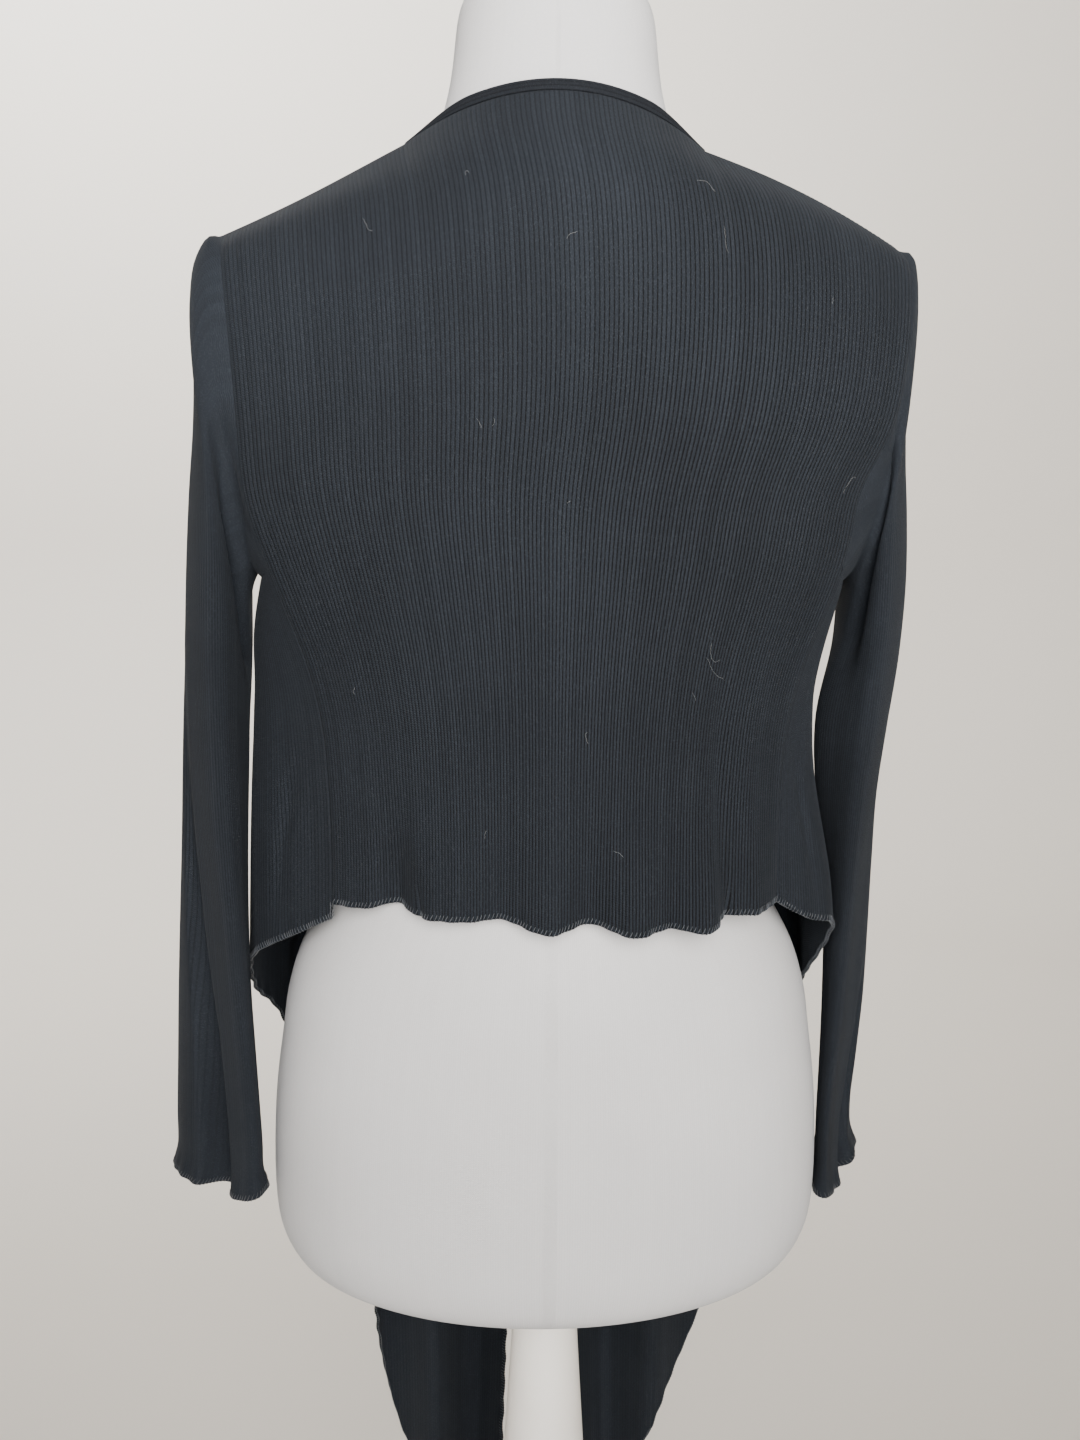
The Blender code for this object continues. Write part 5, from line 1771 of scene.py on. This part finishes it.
@dataclass(frozen=True)
class DressForm:
    """The limbless form under the cardigan, in its drawn jersey cover."""

    sides: int = 144
    rows: int = 150
    stitch: float = 1.1 * MM
    mean_radius: float = 0.13
    seam_depth: float = 0.5 * MM
    seam_width: float = 1.1 * MM
    seam_foot: float = 0.75

    def build(self) -> bpy.types.Object:
        """Build the cover as one closed skin with a seam down the back and the front.

        Returns:
            The cover, riding on the part and standing for its node.
        """
        heights = [level.z for level in FORM_LEVELS]
        places = np.linspace(0, 1, self.rows)
        knots = np.linspace(0, 1, len(FORM_LEVELS))
        table = smooth_through(knots, FORM_LEVELS, places)
        angles = np.arange(self.sides) * 2 * math.pi / self.sides - math.pi / 2
        z, half_width, half_depth, roundness = table.T[:, :, None]
        power = 2 / roundness
        x = half_width * np.sign(np.cos(angles)) * np.abs(np.cos(angles)) ** power
        y = half_depth * np.sign(np.sin(angles)) * np.abs(np.sin(angles)) ** power
        grid = np.stack([x, y, np.broadcast_to(z, x.shape)], axis=-1)
        normal = grid_normals(grid, closed=True)
        near = np.exp(-((x / self.seam_width) ** 2)) * (z > self.seam_foot)
        grid = grid - normal * (near * self.seam_depth)[..., None]
        index = np.arange(self.rows * self.sides).reshape(self.rows, self.sides)
        closed = np.hstack([index, index[:, :1]])
        faces = ClothPiece.quads(closed, True)
        faces += [index[0, ::-1].tolist(), index[-1].tolist()]
        around = np.arange(self.sides) / self.sides * 2 * math.pi * self.mean_radius / self.stitch
        up = np.broadcast_to(z / self.stitch, x.shape)
        knit_map = np.stack([np.broadcast_to(around, x.shape), up], axis=-1).reshape(-1, 2)
        made = mesh_object("form_cover", grid.reshape(-1, 3), faces, FORM_JERSEY.build(), knit_map)
        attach(made, "root")
        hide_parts("dress_form")
        log.info("form_cover: heights %.3f to %.3f m", heights[0], heights[-1])
        return made


@dataclass(frozen=True)
class Stand:
    """The turned pole and its disc base, painted white."""

    sides: int = 128
    rows: int = 64

    def turned(
        self, name: str, node: str, profile: Sequence, material: bpy.types.Material
    ) -> bpy.types.Object:
        """Build one turned piece.

        Args:
            name: The piece's name.
            node: The node that it stands for.
            profile: Heights and radii from top to bottom.
            material: Its paint.

        Returns:
            The piece, riding on the part.
        """
        profile = np.array(profile)[::-1]
        run = run_along(profile)
        knots = np.unique(np.concatenate([np.linspace(0, run[-1], self.rows), run]))
        z, radius = smooth_through(run, profile, knots).T
        z = np.clip(z, profile[:, 0].min(), profile[:, 0].max())
        angles = np.arange(self.sides) * 2 * math.pi / self.sides
        x, y = radius[:, None] * np.cos(angles), radius[:, None] * np.sin(angles)
        grid = np.stack([x, y, np.broadcast_to(z[:, None], x.shape)], axis=-1)
        index = np.arange(grid.shape[0] * self.sides).reshape(-1, self.sides)
        closed = np.hstack([index, index[:, :1]])
        faces = ClothPiece.quads(closed, True)
        faces += [index[0, ::-1].tolist(), index[-1].tolist()]
        made = mesh_object(name, grid.reshape(-1, 3), faces, material)
        made.data.set_sharp_from_angle(angle=math.radians(45))
        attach(made, "root")
        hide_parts(node)
        log.info("%s: %d rows", name, len(z))
        return made

    def build(self) -> None:
        """Build the pole and the base."""
        paint = WHITE_PAINT.build()
        self.turned("pole", "stand_pole", POLE_PROFILE, paint)
        self.turned("base", "stand_base", BASE_PROFILE, paint)


@dataclass(frozen=True)
class SoftLight:
    """A large soft lamp, aimed at the garment."""

    name: str
    place: tuple[float, float, float]
    aim: tuple[float, float, float]
    size: float
    power: float
    tint: str = "#ffffff"
    spread: float = 180.0

    def build(self) -> None:
        """Add the lamp to the scene."""
        lamp = bpy.data.lights.new(self.name, "AREA")
        lamp.shape = "DISK"
        lamp.size = self.size
        lamp.energy = self.power
        lamp.spread = math.radians(self.spread)
        lamp.color = colour(self.tint)[:3]
        made = bpy.data.objects.new(self.name, lamp)
        made.location = self.place
        made.rotation_euler = (Vector(self.aim) - Vector(self.place)).to_track_quat("-Z", "Y").to_euler()
        made.visible_camera = False
        bpy.context.scene.collection.objects.link(made)


@dataclass(frozen=True)
class Studio:
    """Pale floor rising all round into a backdrop, soft lamps and the camera."""

    floor_radius: float = 3.2
    bend_radius: float = 1.2
    wall_height: float = 4.5
    sides: int = 128
    lens: float = 32.5
    sensor: float = 36.0
    shift: float = -6 / 1440
    plan_distance: float = 0.786
    height: float = 1.185
    pitch: float = math.radians(8.0)
    turn: float = math.radians(3.0)
    roll: float = math.radians(0.5)
    sky: str = "#dfe0e2"
    sky_strength: float = 0.38

    def camera(self) -> None:
        """Place the camera behind the garment, as the photo is taken."""
        data = bpy.data.cameras.new("camera")
        data.lens = self.lens
        data.sensor_width = self.sensor
        data.shift_x = self.shift
        made = bpy.data.objects.new("camera", data)
        forward_plan = Vector((math.sin(self.turn), math.cos(self.turn), 0.0))
        right = Vector((math.cos(self.turn), -math.sin(self.turn), 0.0))
        forward = forward_plan * math.cos(self.pitch) - Vector((0, 0, 1)) * math.sin(self.pitch)
        up = right.cross(forward)
        right, up = (
            right * math.cos(self.roll) + up * math.sin(self.roll),
            up * math.cos(self.roll) - right * math.sin(self.roll),
        )
        turned = Matrix((right, up, -forward)).transposed()
        place = Vector((CLOTH_SHIFT, 0.0, self.height)) - forward_plan * self.plan_distance
        made.matrix_world = Matrix.Translation(place) @ turned.to_4x4()
        bpy.context.scene.collection.objects.link(made)
        bpy.context.scene.camera = made

    def backdrop(self) -> None:
        """Build the floor, which bends up into a round wall."""
        floor, bend = self.floor_radius, self.bend_radius
        turns = np.linspace(0, math.pi / 2, 25)[1:]
        heights = np.linspace(bend, self.wall_height, 8)[1:]
        profile = [(r, 0.0) for r in np.linspace(0.02, floor, 12)]
        profile += [(floor + bend * math.sin(a), bend * (1 - math.cos(a))) for a in turns]
        profile += [(floor + bend, z) for z in heights]
        angles = np.arange(self.sides) * 2 * math.pi / self.sides
        grid = np.array([[(r * math.cos(a), r * math.sin(a), z) for a in angles] for r, z in profile])
        index = np.arange(grid.shape[0] * self.sides).reshape(-1, self.sides)
        closed = np.hstack([index, index[:, :1]])
        faces = ClothPiece.quads(closed, False) + [index[0].tolist()]
        mesh_object("studio_floor", grid.reshape(-1, 3), faces, STUDIO_PAPER.build())

    def build(self) -> None:
        """Build the stage, the lamps, the sky and the camera."""
        self.camera()
        self.backdrop()
        for lamp in LAMPS:
            lamp.build()
        world = bpy.data.worlds.new("studio")
        world.use_nodes = True
        background = world.node_tree.nodes["Background"]
        background.inputs["Color"].default_value = colour(self.sky)
        background.inputs["Strength"].default_value = self.sky_strength
        bpy.context.scene.world = world
        log.info("studio: %d lamps", len(LAMPS))


LAMPS = (
    SoftLight("key_lamp", (0.12, -1.75, 1.78), (0.0, 0.0, 1.76), 1.3, 35.0, "#fffaf4", 92.0),
    SoftLight("fill_lamp", (-1.6, -1.5, 1.9), (0.0, 0.0, 1.4), 1.6, 5.0, "#f4f7ff"),
    SoftLight("low_lamp", (0.1, -1.8, 0.35), (0.0, 0.0, 0.55), 0.9, 6.0, "#fffaf4", 130.0),
    SoftLight("back_lamp", (0.4, 2.2, 2.9), (0.0, 0.0, 1.0), 1.8, 7.0),
    SoftLight("wall_lamp", (-1.2, 1.6, 4.0), (-0.9, 4.4, 3.0), 1.4, 270.0),
)


def main() -> None:
    """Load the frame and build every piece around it."""
    logging.basicConfig(level=logging.INFO, format="%(message)s")
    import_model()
    Studio().build()
    DressForm().build()
    Stand().build()
    Garment().build()


if __name__ == "__main__":
    main()
